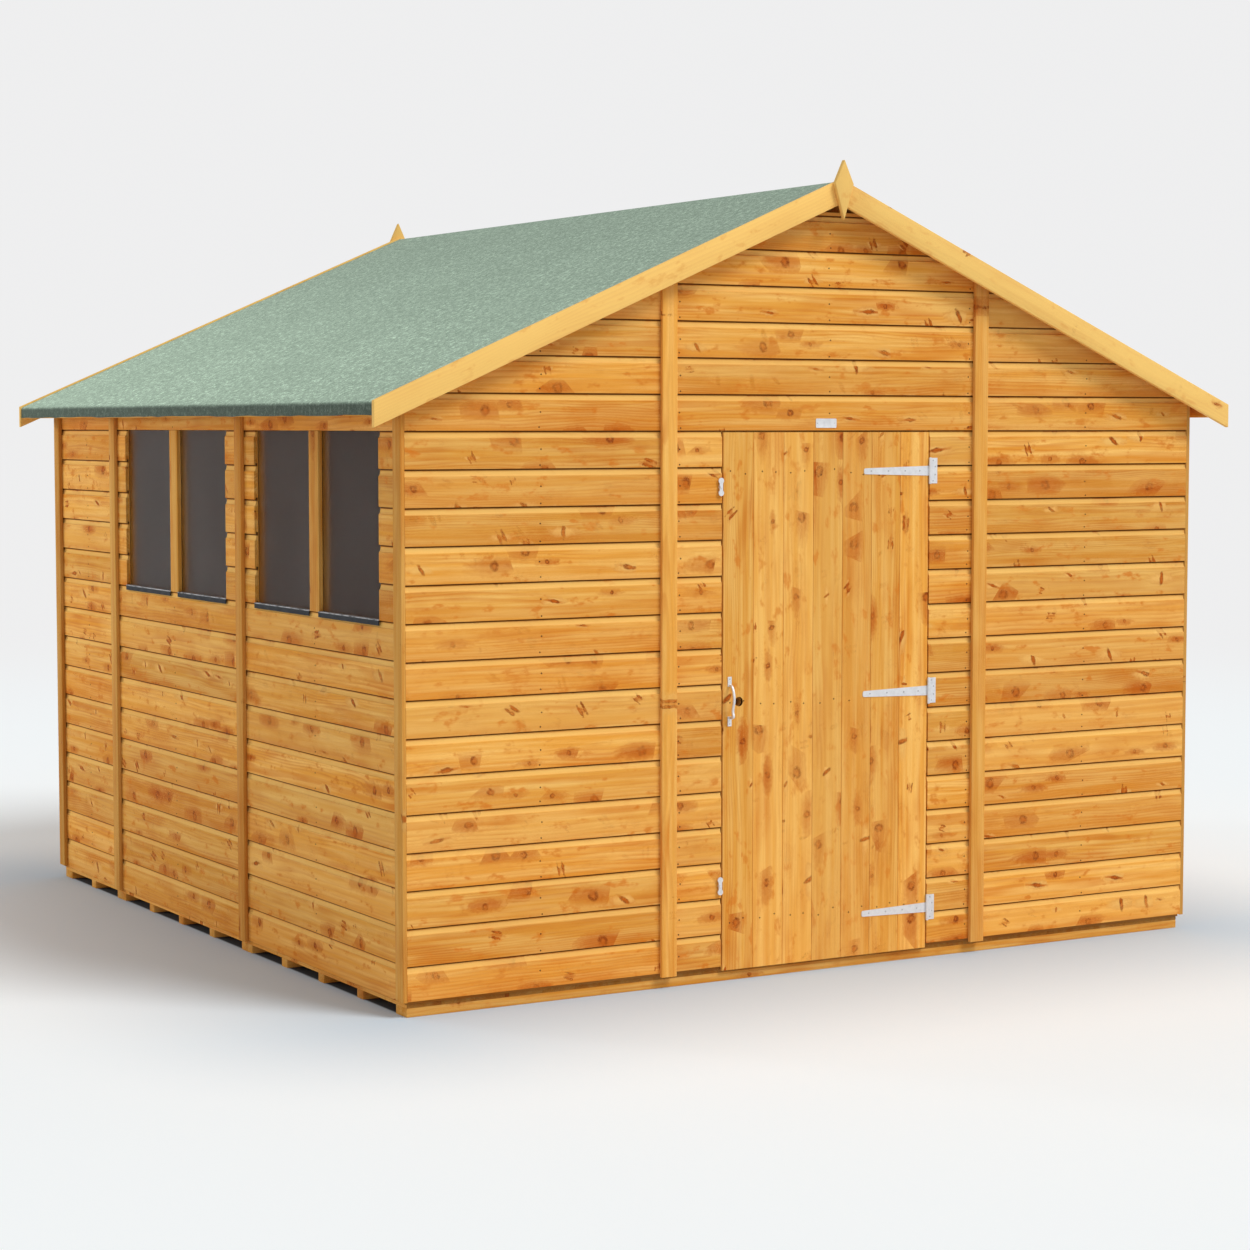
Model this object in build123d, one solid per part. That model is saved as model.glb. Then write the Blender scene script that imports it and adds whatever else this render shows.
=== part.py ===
"""Apex garden shed of timber panels on a boarded floor, with a ledged and braced door.

Millimetres. The front gable faces -Y, the window wall is at -X and the ground is z = 0.
"""
import os
from math import atan, cos, sin

from build123d import *

# Wall panels, laid out on a module of one panel foot
panel_foot = 299.0
front_panel_shares = (3, 4, 3)
side_panel_shares = (4, 4, 2)
panel_gap = 2.0
cladding = 12.0
stud_depth = 28.0
stud_width = 44.0
strip_width = 54.0
strip_thickness = 14.0

# Cladding heights, counted in board courses from the first joint
cladding_bottom = 50.0
strip_bottom = 38.0
corner_bottom = 47.0
board_cover = 113.0
first_joint = 154.0
sill_course_share = 9
head_course_share = 14

# Floor
bearer_width = 44.0
bearer_height = 28.0
end_bearer_width = 74.0
floor_board = 12.0
floor_front_inset = 16.0
floor_side_inset = 4.5
bearer_count_shares = (5, 5, 3)

# Windows in the two longer panels of the left wall
window_margin = 124.0
window_shift = 16.0
mullion_width = 72.0
pane_setback = 14.0
pane_thickness = 3.0
drip_thickness = 3.0
drip_height = 15.0

# Roof, set out from the walls and from the heads of the door and windows
eaves_rise = 84.0
roof_rise = 700.0
eaves_overhang = 125.0
gable_overhang = 51.0
felt = 3.0
roof_board = 12.0
felt_fold = 40.0
gable_flat_drop = 95.0
purlin_shares = (0.05, 0.37, 0.68)
tie_rise = 260.0
bargeboard_width = 72.0
bargeboard_thickness = 16.0
bargeboard_rise = 6.0
bargeboard_reach = 4.0
finial_width = 70.0
finial_top = 64.0
finial_shoulder = 11.0
finial_tail = 123.0

# Door, with its fittings at shares of the leaf's height
jamb_width = 197.5
door_gap = 5.0
door_bottom = 36.0
leaf_thickness = 11.0
stop_lap = 15.0
ledge_inset = 25.0
ledge_height = 96.0
ledge_shares = (0.091, 0.497, 0.924)
brace_width = 70.0
lock_inset = 59.5
lock_share = 0.5015
lock_radius = 15.0

# T hinges
hinge_shares = (0.079, 0.502, 0.926)
sheet = 2.0
strap_length = 260.0
strap_root = 32.0
strap_tip = 19.0
strap_corner = 6.0
plate_width = 30.5
plate_height = 83.0
barrel_radius = 5.0
pin_radius = 2.5
pin_clearance = 0.3
pin_head_radius = 4.0
pin_head = 1.5

# Pull handle
handle_inset = 24.5
handle_share = 0.5027
handle_length = 156.0
handle_plate_width = 14.0
handle_plate_height = 31.0
handle_reach = 32.0
handle_radius = 4.5
handle_shoulder = 15.0
handle_shoulder_share = 0.8

# Turn buttons
button_inset = 7.5
button_shares = (0.16, 0.9)
button_length = 57.0
button_end_radius = 9.5
button_waist = 12.0
button_thickness = 3.0
button_standoff = 5.6
button_clearance = 0.3
screw_radius = 2.2
screw_head_radius = 4.5
screw_head = 2.2
spacer_radius = 5.5

cut_overrun = 10.0

# Derived planes: wall faces, floor and door
half_width = panel_foot * sum(front_panel_shares) / 2
half_length = panel_foot * sum(side_panel_shares) / 2
wall = cladding + stud_depth
gable_face = half_length + wall
gable_back = gable_face - cladding
side_back = half_width - cladding
side_inner = half_width - wall
floor_top = bearer_height + floor_board
sill_height = first_joint + sill_course_share * board_cover
head_height = first_joint + head_course_share * board_cover
window_width = side_panel_shares[0] * panel_foot - 2 * window_margin
doorway_half = front_panel_shares[1] * panel_foot / 2 - jamb_width
leaf_half = doorway_half - door_gap
leaf_back = gable_face - leaf_thickness
leaf_top = head_height - door_gap
leaf_height = leaf_top - door_bottom
ledge_half = leaf_half - ledge_inset
ledge_heights = [door_bottom + share * leaf_height for share in ledge_shares]
hinge_heights = [door_bottom + share * leaf_height for share in hinge_shares]
button_heights = [door_bottom + share * leaf_height for share in button_shares]
lock_x = lock_inset - leaf_half
lock_height = door_bottom + lock_share * leaf_height
handle_x = handle_inset - leaf_half
handle_height = door_bottom + handle_share * leaf_height
button_x = -doorway_half - button_inset

# Derived roof lines
eaves_height = head_height + eaves_rise
ridge_height = eaves_height + roof_rise
roof_half_width = half_width + eaves_overhang
gable_flat_height = ridge_height - gable_flat_drop
tie_height = eaves_height + tie_rise
slope = (ridge_height - eaves_height) / roof_half_width
pitch = atan(slope)
deck_depth = felt + roof_board
rail_depth = deck_depth + stud_width
truss_depth = rail_depth + stud_width
roof_end = gable_face + gable_overhang
fold_bottom = eaves_height - felt_fold


def roof_line(x, depth):
    """Height of the line that lies depth below the felt, square to the slope, at x."""
    return ridge_height - slope * abs(x) - depth / cos(pitch)


def roof_run(z, depth):
    """Distance from the ridge at which that line falls to the height z."""
    return (roof_line(0, depth) - z) / slope


def square_point(side, x, depth):
    """Point square below the felt's top at x, on the side -1 or 1 of the ridge."""
    return (side * (x - depth * sin(pitch)), roof_line(x, 0) - depth * cos(pitch))


def block(x0, x1, y0, y1, z0, z1):
    """Box between two opposite corners."""
    centre = Pos((x0 + x1) / 2, (y0 + y1) / 2, (z0 + z1) / 2)
    return centre * Box(abs(x1 - x0), abs(y1 - y0), abs(z1 - z0))


def along_y(points, y0, y1):
    """Outline of (x, z) points extruded from y0 to the larger y1."""
    outline = make_face(Polyline(*points, close=True))
    return extrude(Plane.XZ.offset(-y1) * outline, amount=y1 - y0)


def node(name, pieces):
    """Write one named node from its separate solids."""
    for piece in pieces:
        piece.label = name
    export_step(Compound(children=list(pieces), label=name), f"parts/{name}.step")


def spans(shares, start):
    """Ends of each panel in a row that starts at start, with half a gap at each joint."""
    ends = []
    for share in shares:
        ends.append([start, start + share * panel_foot])
        start += share * panel_foot
    for first, second in zip(ends, ends[1:]):
        first[1] -= panel_gap / 2
        second[0] += panel_gap / 2
    return ends


front_spans = spans(front_panel_shares, -half_width)
side_spans = spans(side_panel_shares, -half_length)
front_joints = [front_spans[0][1] + panel_gap / 2, front_spans[1][1] + panel_gap / 2]
side_joints = [side_spans[0][1] + panel_gap / 2, side_spans[1][1] + panel_gap / 2]


def to_back(solids):
    """Mirror solids of the front gable to the back one."""
    return [mirror(solid, about=Plane.XZ) for solid in solids]


def make_floor():
    """Three boarded floor panels on bearers that run across the shed, wider at both ends."""
    front = -gable_face + floor_front_inset
    side = half_width - floor_side_inset
    edges = [front] + side_joints + [-front]
    bearers = []
    panels = []
    for first, last, count in zip(edges, edges[1:], bearer_count_shares):
        widths = [bearer_width] * count
        if first == front:
            widths[0] = end_bearer_width
        else:
            first += panel_gap / 2
        if last == -front:
            widths[-1] = end_bearer_width
        else:
            last -= panel_gap / 2
        panels.append(block(-side, side, first, last, bearer_height, floor_top))
        middle = first + widths[0] / 2
        step = (last - widths[-1] / 2 - middle) / (count - 1)
        for width in widths:
            bearers.append(block(-side, side, middle - width / 2, middle + width / 2, 0, bearer_height))
            middle += step
    node("floor_bearers", bearers)
    node("floor_panels", panels)


def gable_outline(x0, x1, bottom, depth):
    """Outline of a gable piece from x0 to x1, cut to the slope and flat at the apex."""
    flat = roof_run(gable_flat_height, depth)
    crest = []
    for x in (x1, flat, -flat, x0):
        if x0 <= x <= x1:
            crest.append((x, min(roof_line(x, depth), gable_flat_height)))
    return [(x0, bottom), (x1, bottom)] + crest


def gable_slab(x0, x1, bottom):
    """Front gable cladding from x0 to x1, up to the underside of the roof boards."""
    return along_y(gable_outline(x0, x1, bottom, deck_depth), -gable_face, -gable_back)


def make_gable_cladding():
    """Cladding of both gables, split beside and over the doorway."""
    left, centre, right = front_spans
    sides = [gable_slab(left[0], left[1], cladding_bottom)]
    sides.append(gable_slab(right[0], right[1], cladding_bottom))
    over = gable_slab(centre[0], centre[1], head_height)
    jambs = []
    for x0, x1 in ((centre[0], -doorway_half), (doorway_half, centre[1])):
        jambs.append(block(x0, x1, -gable_face, -gable_back, cladding_bottom, head_height))
    plain = gable_slab(centre[0], centre[1], cladding_bottom)
    node("front_side_cladding", sides)
    node("door_side_cladding", jambs)
    node("over_door_cladding", [over])
    node("back_cladding", to_back(sides + [plain]))


def gable_stud(x0, x1, bottom):
    """Upright of the front gable from bottom to the sloping rail."""
    points = gable_outline(x0, x1, bottom, rail_depth)
    return along_y(points, -gable_back, -half_length)


def gable_panel_studs(x0, x1):
    """Edge and middle uprights of one gable panel, standing on its bottom rail."""
    middle = (x0 + x1) / 2
    starts = (x0, middle - stud_width / 2, x1 - stud_width)
    return [gable_stud(x, x + stud_width, floor_top + stud_width) for x in starts]


def gable_rail(x0, x1):
    """Sloping top rail of the front gable over one panel, on one side of the ridge."""
    near, far = sorted((abs(x0), abs(x1)))
    side = 1 if x1 > 0 else -1
    upper = max(near, roof_run(gable_flat_height, deck_depth))
    lower = max(near, roof_run(gable_flat_height, rail_depth))
    points = [(side * far, roof_line(far, rail_depth)), (side * far, roof_line(far, deck_depth))]
    points.append((side * upper, roof_line(upper, deck_depth)))
    points.append((side * lower, roof_line(lower, rail_depth)))
    return along_y(points, -gable_back, -half_length)


def bottom_rail(x0, x1):
    """Bottom rail of the front gable, laid on the floor."""
    return block(x0, x1, -gable_back, -half_length, floor_top, floor_top + stud_width)


def rebate(x0, x1, z0, z1):
    """Space cut in the door's frame so that the closed leaf stays clear of its stop."""
    return block(x0, x1, -gable_back - cut_overrun, -leaf_back + door_gap, z0, z1)


def door_frame():
    """Door posts and head, rebated where they stop the leaf."""
    stop = doorway_half - stop_lap
    head_bottom = head_height - stop_lap
    posts = []
    for side in (-1, 1):
        x0, x1 = sorted((side * stop, side * (stop + stud_width)))
        inner, outer = sorted((side * (stop - cut_overrun), side * doorway_half))
        post = gable_stud(x0, x1, floor_top)
        posts.append(post - rebate(inner, outer, floor_top - cut_overrun, head_height))
    head = block(-stop, stop, -gable_back, -half_length, head_bottom, head_bottom + stud_width)
    head -= rebate(-doorway_half, doorway_half, head_bottom - cut_overrun, head_height)
    king = gable_stud(-stud_width / 2, stud_width / 2, head_bottom + stud_width)
    return posts + [king], head


def make_gable_frames():
    """Studs and rails behind the cladding of both gables."""
    left, centre, right = front_spans
    side_studs = gable_panel_studs(*left) + gable_panel_studs(*right)
    top_rails = [gable_rail(*left), gable_rail(*right)]
    top_rails += [gable_rail(centre[0], 0), gable_rail(0, centre[1])]
    side_rails = [bottom_rail(*left), bottom_rail(*right)]
    posts, head = door_frame()
    rail_top = floor_top + stud_width
    door_studs = [gable_stud(centre[0], centre[0] + stud_width, rail_top)]
    door_studs.append(gable_stud(centre[1] - stud_width, centre[1], rail_top))
    post_edge = doorway_half - stop_lap + stud_width
    door_rails = [bottom_rail(centre[0], -post_edge), bottom_rail(post_edge, centre[1])]
    node("front_studs", side_studs + door_studs + posts)
    node("front_rails", side_rails + top_rails + door_rails + [head])
    node("back_studs", to_back(side_studs + gable_panel_studs(*centre)))
    node("back_rails", to_back(side_rails + top_rails + [bottom_rail(*centre)]))


def window_span(panel):
    """Ends along the wall of the window opening in one panel."""
    middle = (panel[0] + panel[1]) / 2 + window_shift
    return middle - window_width / 2, middle + window_width / 2


windows = [window_span(panel) for panel in side_spans[:2]]


def side_slab(side, y0, y1, bottom):
    """Side wall cladding from y0 to y1, bevelled at the top to the roof boards."""
    points = [(side * half_width, bottom), (side * side_back, bottom)]
    points.append((side * side_back, roof_line(side_back, deck_depth)))
    points.append((side * half_width, roof_line(half_width, deck_depth)))
    return along_y(points, y0, y1)


def make_side_cladding():
    """Cladding of the side walls, with the left one in courses round its windows."""
    lower = []
    beside = []
    above = []
    for panel, window in zip(side_spans, windows):
        lower.append(block(-half_width, -side_back, *panel, floor_top, sill_height))
        for y0, y1 in ((panel[0], window[0]), (window[1], panel[1])):
            beside.append(block(-half_width, -side_back, y0, y1, sill_height, head_height))
        above.append(side_slab(-1, *panel, head_height))
    lower.append(side_slab(-1, *side_spans[2], floor_top))
    node("left_cladding", lower)
    node("window_side_cladding", beside)
    node("window_head_boards", above)
    node("right_cladding", [side_slab(1, *panel, floor_top) for panel in side_spans])


def side_member(side, y0, y1, z0, z1):
    """Stud or rail behind the cladding of a side wall."""
    return block(side * side_back, side * side_inner, y0, y1, z0, z1)


def make_side_frames():
    """Studs and rails of the side walls, with trimmers round the windows."""
    top = roof_line(side_back, deck_depth)
    lower = floor_top + stud_width
    upper = top - stud_width
    for side, name in ((-1, "left"), (1, "right")):
        studs = []
        rails = []
        for panel in side_spans:
            rails.append(side_member(side, *panel, floor_top, lower))
            rails.append(side_member(side, *panel, upper, top))
            edges = [panel[0], panel[1] - stud_width]
            studs += [side_member(side, y, y + stud_width, lower, upper) for y in edges]
        for panel, window in zip(side_spans, windows):
            middle = sum(window) / 2 - stud_width / 2
            if side > 0:
                studs.append(side_member(side, middle, middle + stud_width, lower, upper))
                continue
            sill_bottom = sill_height - stud_width
            studs.append(side_member(side, window[0] - stud_width, window[0], lower, upper))
            studs.append(side_member(side, window[1], window[1] + stud_width, lower, upper))
            studs.append(side_member(side, middle, middle + stud_width, lower, sill_bottom))
            rails.append(side_member(side, *window, sill_bottom, sill_height))
            rails.append(side_member(side, *window, head_height, head_height + stud_width))
        node(f"{name}_studs", studs)
        node(f"{name}_rails", rails)


def make_windows():
    """Two panes to a window, parted by a mullion, each over a folded drip strip."""
    panes = []
    drips = []
    mullions = []
    front = half_width - pane_setback
    back = front - pane_thickness
    nose = half_width + drip_thickness
    ledge = sill_height + drip_thickness
    fold = [(-nose, sill_height - drip_height), (-half_width, sill_height - drip_height)]
    fold += [(-half_width, sill_height), (-back, sill_height), (-back, ledge), (-nose, ledge)]
    for window in windows:
        middle = sum(window) / 2
        near = middle - mullion_width / 2
        far = middle + mullion_width / 2
        mullions.append(block(-half_width, -side_inner, near, far, sill_height, head_height))
        for y0, y1 in ((window[0], near), (far, window[1])):
            panes.append(block(-front, -back, y0, y1, ledge, head_height))
            drips.append(along_y(fold, y0, y1))
    node("window_panes", panes)
    node("window_drips", drips)
    node("window_mullions", mullions)


def make_strips():
    """Cover battens over the panel joints and corner strips on the side walls."""
    face = gable_face + strip_thickness
    outer = half_width + strip_thickness
    top = roof_line(outer, deck_depth)
    fronts = []
    for x in front_joints:
        x0 = x - strip_width / 2
        points = gable_outline(x0, x0 + strip_width, strip_bottom, deck_depth)
        fronts.append(along_y(points, -face, -gable_face))
    battens = fronts + to_back(fronts)
    corners = []
    for side in (-1, 1):
        for y in side_joints:
            y0 = y - strip_width / 2
            y1 = y0 + strip_width
            battens.append(block(side * half_width, side * outer, y0, y1, strip_bottom, top))
        for end in (-1, 1):
            y0 = end * gable_face
            y1 = end * (gable_face - strip_width)
            corners.append(block(side * half_width, side * outer, y0, y1, corner_bottom, top))
    node("cover_battens", battens)
    node("corner_strips", corners)


def slope_board(side, x0, x1, upper, lower, y0, y1):
    """Piece that follows one slope between two depths, with upright ends."""
    points = [(side * x0, roof_line(x0, upper)), (side * x1, roof_line(x1, upper))]
    points += [(side * x1, roof_line(x1, lower)), (side * x0, roof_line(x0, lower))]
    return along_y(points, y0, y1)


def make_roof():
    """Roof boards, purlins, eaves rails and the felt folded down over the eaves."""
    deck_end = roof_half_width - felt
    rail_inner = deck_end - stud_depth
    rails = []
    purlins = []
    for side, name in ((-1, "left"), (1, "right")):
        deck = slope_board(side, 0, deck_end, felt, deck_depth, -roof_end, roof_end)
        node(f"roof_boards_{name}", [deck])
        section = [(side * deck_end, fold_bottom), (side * rail_inner, fold_bottom)]
        section.append((side * rail_inner, roof_line(rail_inner, deck_depth)))
        section.append((side * deck_end, roof_line(deck_end, deck_depth)))
        rails.append(along_y(section, -roof_end, roof_end))
        for share in purlin_shares:
            x = share * roof_half_width
            run = stud_depth * cos(pitch)
            corners = [square_point(side, x, deck_depth), square_point(side, x + run, deck_depth)]
            corners += [square_point(side, x + run, rail_depth), square_point(side, x, rail_depth)]
            purlins.append(along_y(corners, -half_length, half_length))
    node("eaves_rails", rails)
    node("roof_purlins", purlins)

    crest = [(-roof_half_width, fold_bottom), (-roof_half_width, eaves_height), (0, ridge_height)]
    crest += [(roof_half_width, eaves_height), (roof_half_width, fold_bottom)]
    crest += [(deck_end, fold_bottom), (deck_end, roof_line(deck_end, felt))]
    crest += [(0, roof_line(0, felt)), (-deck_end, roof_line(deck_end, felt))]
    crest.append((-deck_end, fold_bottom))
    node("roof_felt", [along_y(crest, -roof_end, roof_end)])


def make_gable_trim():
    """Bargeboards with upright ends, and a pointed finial over each meeting."""
    upper = -bargeboard_rise * cos(pitch)
    lower = upper + bargeboard_width
    end = roof_half_width + bargeboard_reach
    face = roof_end + bargeboard_thickness
    for side, name in ((-1, "left"), (1, "right")):
        board = slope_board(side, 0, end, upper, lower, -face, -roof_end)
        node(f"{name}_bargeboards", [board] + to_back([board]))
    shoulder = ridge_height - finial_shoulder
    points = [(0, ridge_height + finial_top), (finial_width / 2, shoulder)]
    points += [(0, ridge_height - finial_tail), (-finial_width / 2, shoulder)]
    finial = along_y(points, -face - bargeboard_thickness, -face)
    node("finials", [finial] + to_back([finial]))


def make_trusses():
    """Two trusses under the purlins, each of two rafters and a lapped tie."""
    tie_top = tie_height + stud_width
    outer = roof_run(tie_height, rail_depth)
    inner = roof_run(tie_top, rail_depth)
    points = [(-outer, tie_height), (outer, tie_height), (inner, tie_top), (-inner, tie_top)]
    ties = []
    rafters = {-1: [], 1: []}
    for y in side_joints:
        near = y - stud_depth / 2
        far = y + stud_depth / 2
        for side in (-1, 1):
            rafters[side].append(slope_board(side, 0, side_inner, rail_depth, truss_depth, near, far))
        ties.append(along_y(points, far, far + stud_depth))
    node("truss_rafters_left", rafters[-1])
    node("truss_rafters_right", rafters[1])
    node("truss_ties", ties)


def bore(x, z, radius, y0, y1):
    """Round cutter or pin along Y, from y0 to the larger y1."""
    turned = Rot(90, 0, 0) * Cylinder(radius, y1 - y0)
    return Pos(x, (y0 + y1) / 2, z) * turned


def make_door():
    """Door leaf of upright boards on three ledges, with two braces and a bored lock hole."""
    leaf = block(-leaf_half, leaf_half, -gable_face, -leaf_back, door_bottom, leaf_top)
    ledge_back = leaf_back - stud_depth
    hole = bore(lock_x, lock_height, lock_radius, -gable_face - cut_overrun, -ledge_back + cut_overrun)
    ledges = []
    braces = []
    for z in ledge_heights:
        z0 = z - ledge_height / 2
        ledge = block(-ledge_half, ledge_half, -leaf_back, -ledge_back, z0, z0 + ledge_height)
        ledges.append(ledge - hole)
    for below, above in zip(ledge_heights, ledge_heights[1:]):
        foot = below + ledge_height / 2
        top = above - ledge_height / 2
        run = brace_width * (1 + ledge_half / (top - foot)) / 2
        points = [(ledge_half - run, foot), (ledge_half, foot)]
        points += [(run - ledge_half, top), (-ledge_half, top)]
        braces.append(along_y(points, -leaf_back, -ledge_back))
    node("door_leaf", [leaf - hole])
    node("door_ledges", ledges)
    node("door_braces", braces)


def barrel_part(x, y, z0, z1, inner):
    """Rolled knuckle of a hinge between two heights."""
    ring = Cylinder(barrel_radius, z1 - z0) - Cylinder(inner, z1 - z0 + cut_overrun)
    return Pos(x, y, (z0 + z1) / 2) * ring


def strap_sheet(axis_x, z):
    """Tapered strap with rounded tip corners, in the plane of the door's face."""
    tip_x = axis_x - strap_length
    root = strap_root / 2
    tip = strap_tip / 2
    points = ((axis_x, z + root), (tip_x, z + tip), (tip_x, z - tip), (axis_x, z - root))
    outline = make_face(Polyline(*points, close=True))
    corners = outline.vertices().sort_by(Axis.X)[:2]
    return extrude(Plane.XZ.offset(gable_face) * fillet(corners, strap_corner), amount=sheet)


def make_hinges():
    """T hinges: a strap on the door, a plate beside it and a pin through their knuckles."""
    axis_x = leaf_half + door_gap / 2
    axis_y = -gable_face - barrel_radius
    bored = pin_radius + pin_clearance
    straps = []
    plates = []
    pins = []
    for z in hinge_heights:
        knuckle = strap_root / 2
        ends = plate_height / 2
        pin_space = bore_along(axis_x, axis_y, z - ends, z + ends, bored)
        strap = strap_sheet(axis_x, z) - pin_space
        straps.append(strap + barrel_part(axis_x, axis_y, z - knuckle, z + knuckle, bored))
        plate = block(axis_x, axis_x + plate_width, -gable_face - sheet, -gable_face, z - ends, z + ends)
        relief = knuckle + pin_clearance
        notch_x = axis_x + barrel_radius + pin_clearance
        plate -= block(axis_x - cut_overrun, notch_x, -gable_face - cut_overrun, -gable_face + cut_overrun,
                       z - relief, z + relief)
        for z0, z1 in ((z - ends, z - relief), (z + relief, z + ends)):
            plate += barrel_part(axis_x, axis_y, z0, z1, pin_radius)
        plates.append(plate)
        shank = Pos(axis_x, axis_y, z) * Cylinder(pin_radius, plate_height)
        for side in (-1, 1):
            place = Pos(axis_x, axis_y, z + side * (ends + pin_head / 2))
            shank += place * Cylinder(pin_head_radius, pin_head)
        pins.append(shank)
    node("hinge_straps", straps)
    node("hinge_plates", plates)
    node("hinge_pins", pins)


def bore_along(x, y, z0, z1, radius):
    """Round cutter along Z that runs past both heights."""
    return Pos(x, y, (z0 + z1) / 2) * Cylinder(radius, z1 - z0 + cut_overrun)


def make_handle():
    """Bowed pull handle that springs from the inner ends of two narrow screw plates."""
    face = -gable_face
    reach = handle_length / 2
    foot = reach - handle_plate_height + handle_radius
    root = sheet / 2
    out = handle_reach - handle_radius
    bow = (
        (foot, root),
        (foot - handle_shoulder, handle_shoulder_share * out),
        (0, out),
        (handle_shoulder - foot, handle_shoulder_share * out),
        (-foot, root),
    )
    points = [(handle_x, face - rise, handle_height + along) for along, rise in bow]
    path = Spline(*points, tangents=((0, -1, 0), (0, 1, 0)))
    grip = sweep(Plane(origin=points[0], z_dir=(0, -1, 0)) * Circle(handle_radius), path=path)
    half = handle_plate_width / 2
    for z0 in (handle_height - reach, handle_height + reach - handle_plate_height):
        grip += block(handle_x - half, handle_x + half, face - sheet, face, z0, z0 + handle_plate_height)
    node("door_handle", [grip])


def make_turn_buttons():
    """Two turn buttons with round ends, each held by a screw through a spacer."""
    back = -gable_face - button_standoff - button_clearance
    front = back - button_thickness
    shoulder = button_length / 2 - button_end_radius
    screws = []
    for name, z in zip(("lower_turn_button", "upper_turn_button"), button_heights):
        bar = block(button_x - button_waist / 2, button_x + button_waist / 2, front, back,
                    z - shoulder, z + shoulder)
        for end in (-1, 1):
            bar += bore(button_x, z + end * shoulder, button_end_radius, front, back)
        hole = screw_radius + button_clearance
        bar -= bore(button_x, z, hole, front - cut_overrun, back + cut_overrun)
        node(name, [bar])
        screw = bore(button_x, z, spacer_radius, back + button_clearance, -gable_face)
        screw += bore(button_x, z, screw_radius, front - button_clearance, -gable_face)
        head_back = front - button_clearance
        screw += bore(button_x, z, screw_head_radius, head_back - screw_head, head_back)
        screws.append(screw)
    node("turn_button_screws", screws)


os.makedirs("parts", exist_ok=True)
make_floor()
make_gable_cladding()
make_gable_frames()
make_side_cladding()
make_side_frames()
make_windows()
make_strips()
make_roof()
make_gable_trim()
make_trusses()
make_door()
make_hinges()
make_handle()
make_turn_buttons()
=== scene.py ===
"""Looks of an apex garden shed: shiplap walls, felt roof, ledged door and zinc fittings.

Metres. The front gable faces -Y, the window wall is at -X and the ground is z = 0.
"""
import math
import random

import bmesh
import bpy
from bpy.props import FloatProperty, FloatVectorProperty, IntProperty, PointerProperty
from mathutils import Matrix, Vector


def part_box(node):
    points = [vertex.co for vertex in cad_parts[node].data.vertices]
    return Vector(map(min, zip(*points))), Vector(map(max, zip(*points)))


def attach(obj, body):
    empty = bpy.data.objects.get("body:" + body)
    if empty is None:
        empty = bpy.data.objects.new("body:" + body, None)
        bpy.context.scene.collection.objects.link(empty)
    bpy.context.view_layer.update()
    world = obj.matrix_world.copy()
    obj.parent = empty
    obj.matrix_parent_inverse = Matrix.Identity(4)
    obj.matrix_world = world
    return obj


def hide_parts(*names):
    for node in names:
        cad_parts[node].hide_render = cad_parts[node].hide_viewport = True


bl_info = {
    "name": "Apex Garden Shed",
    "version": (1, 0, 0),
    "blender": (4, 5, 0),
    "location": "3D View > Sidebar > Shed",
    "description": "Dresses the frame of a timber garden shed with boards, felt and fittings",
    "category": "Add Mesh",
}

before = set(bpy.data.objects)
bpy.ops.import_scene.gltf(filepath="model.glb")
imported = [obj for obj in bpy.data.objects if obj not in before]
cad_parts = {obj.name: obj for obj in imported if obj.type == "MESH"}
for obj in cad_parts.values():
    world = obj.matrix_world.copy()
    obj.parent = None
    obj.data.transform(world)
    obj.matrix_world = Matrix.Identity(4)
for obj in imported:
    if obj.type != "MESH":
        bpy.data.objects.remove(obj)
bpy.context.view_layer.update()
SIDE_LOW, SIDE_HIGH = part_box("front_side_cladding")
OVER_LOW, OVER_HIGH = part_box("over_door_cladding")
LEFT_LOW, LEFT_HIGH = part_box("left_cladding")
HEAD_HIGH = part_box("window_head_boards")[1]
BESIDE_LOW, BESIDE_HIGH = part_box("window_side_cladding")
PANE_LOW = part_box("window_panes")[0]
LEAF_LOW, LEAF_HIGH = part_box("door_leaf")
FLOOR_LOW, FLOOR_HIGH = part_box("floor_panels")
FELT_LOW, FELT_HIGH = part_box("roof_felt")
DECK_LOW, DECK_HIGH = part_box("roof_boards_left")
X_AXIS = Vector((1, 0, 0))
Y_AXIS = Vector((0, 1, 0))
Z_AXIS = Vector((0, 0, 1))
HAIR = 1e-6
WELD = 1e-5
FLAT_BELOW = 2
SMOOTH_BELOW = 35

# Boards: the sill of the windows lies a whole number of courses above the first joint.
BOARD_COVER = 0.113
SILL_COURSES = 9
LIP_CHAMFER = 0.0012
SLIVER = 0.008
SCOOP_TURNS = (18, 36, 54, 72, 90)
FLOOR_BOARDS = 26
ROOF_BOARDS = 16
ROOF_BOARD = 0.012
DOOR_BOARDS = 7
SAWN_CHAMFER = 0.001
SAWN_GAP = 0.0008
DOOR_BOARD_GAP = 0.0006

# Walls, windows and roof.
SIDE_JOINT = -0.299
PANEL_GAP = 0.002
WINDOW_WIDTH = 0.948
WINDOW_SHIFT = 0.016
DOOR_GAP = 0.005
EAVES_REACH = 0.01
ROOF_RISE = 0.7
FELT_THICK = 0.003
FELT_FOLD = 0.007
FELT_CUTS = 47
FELT_EDGE = 0.002
FELT_WAVE = 0.004

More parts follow.
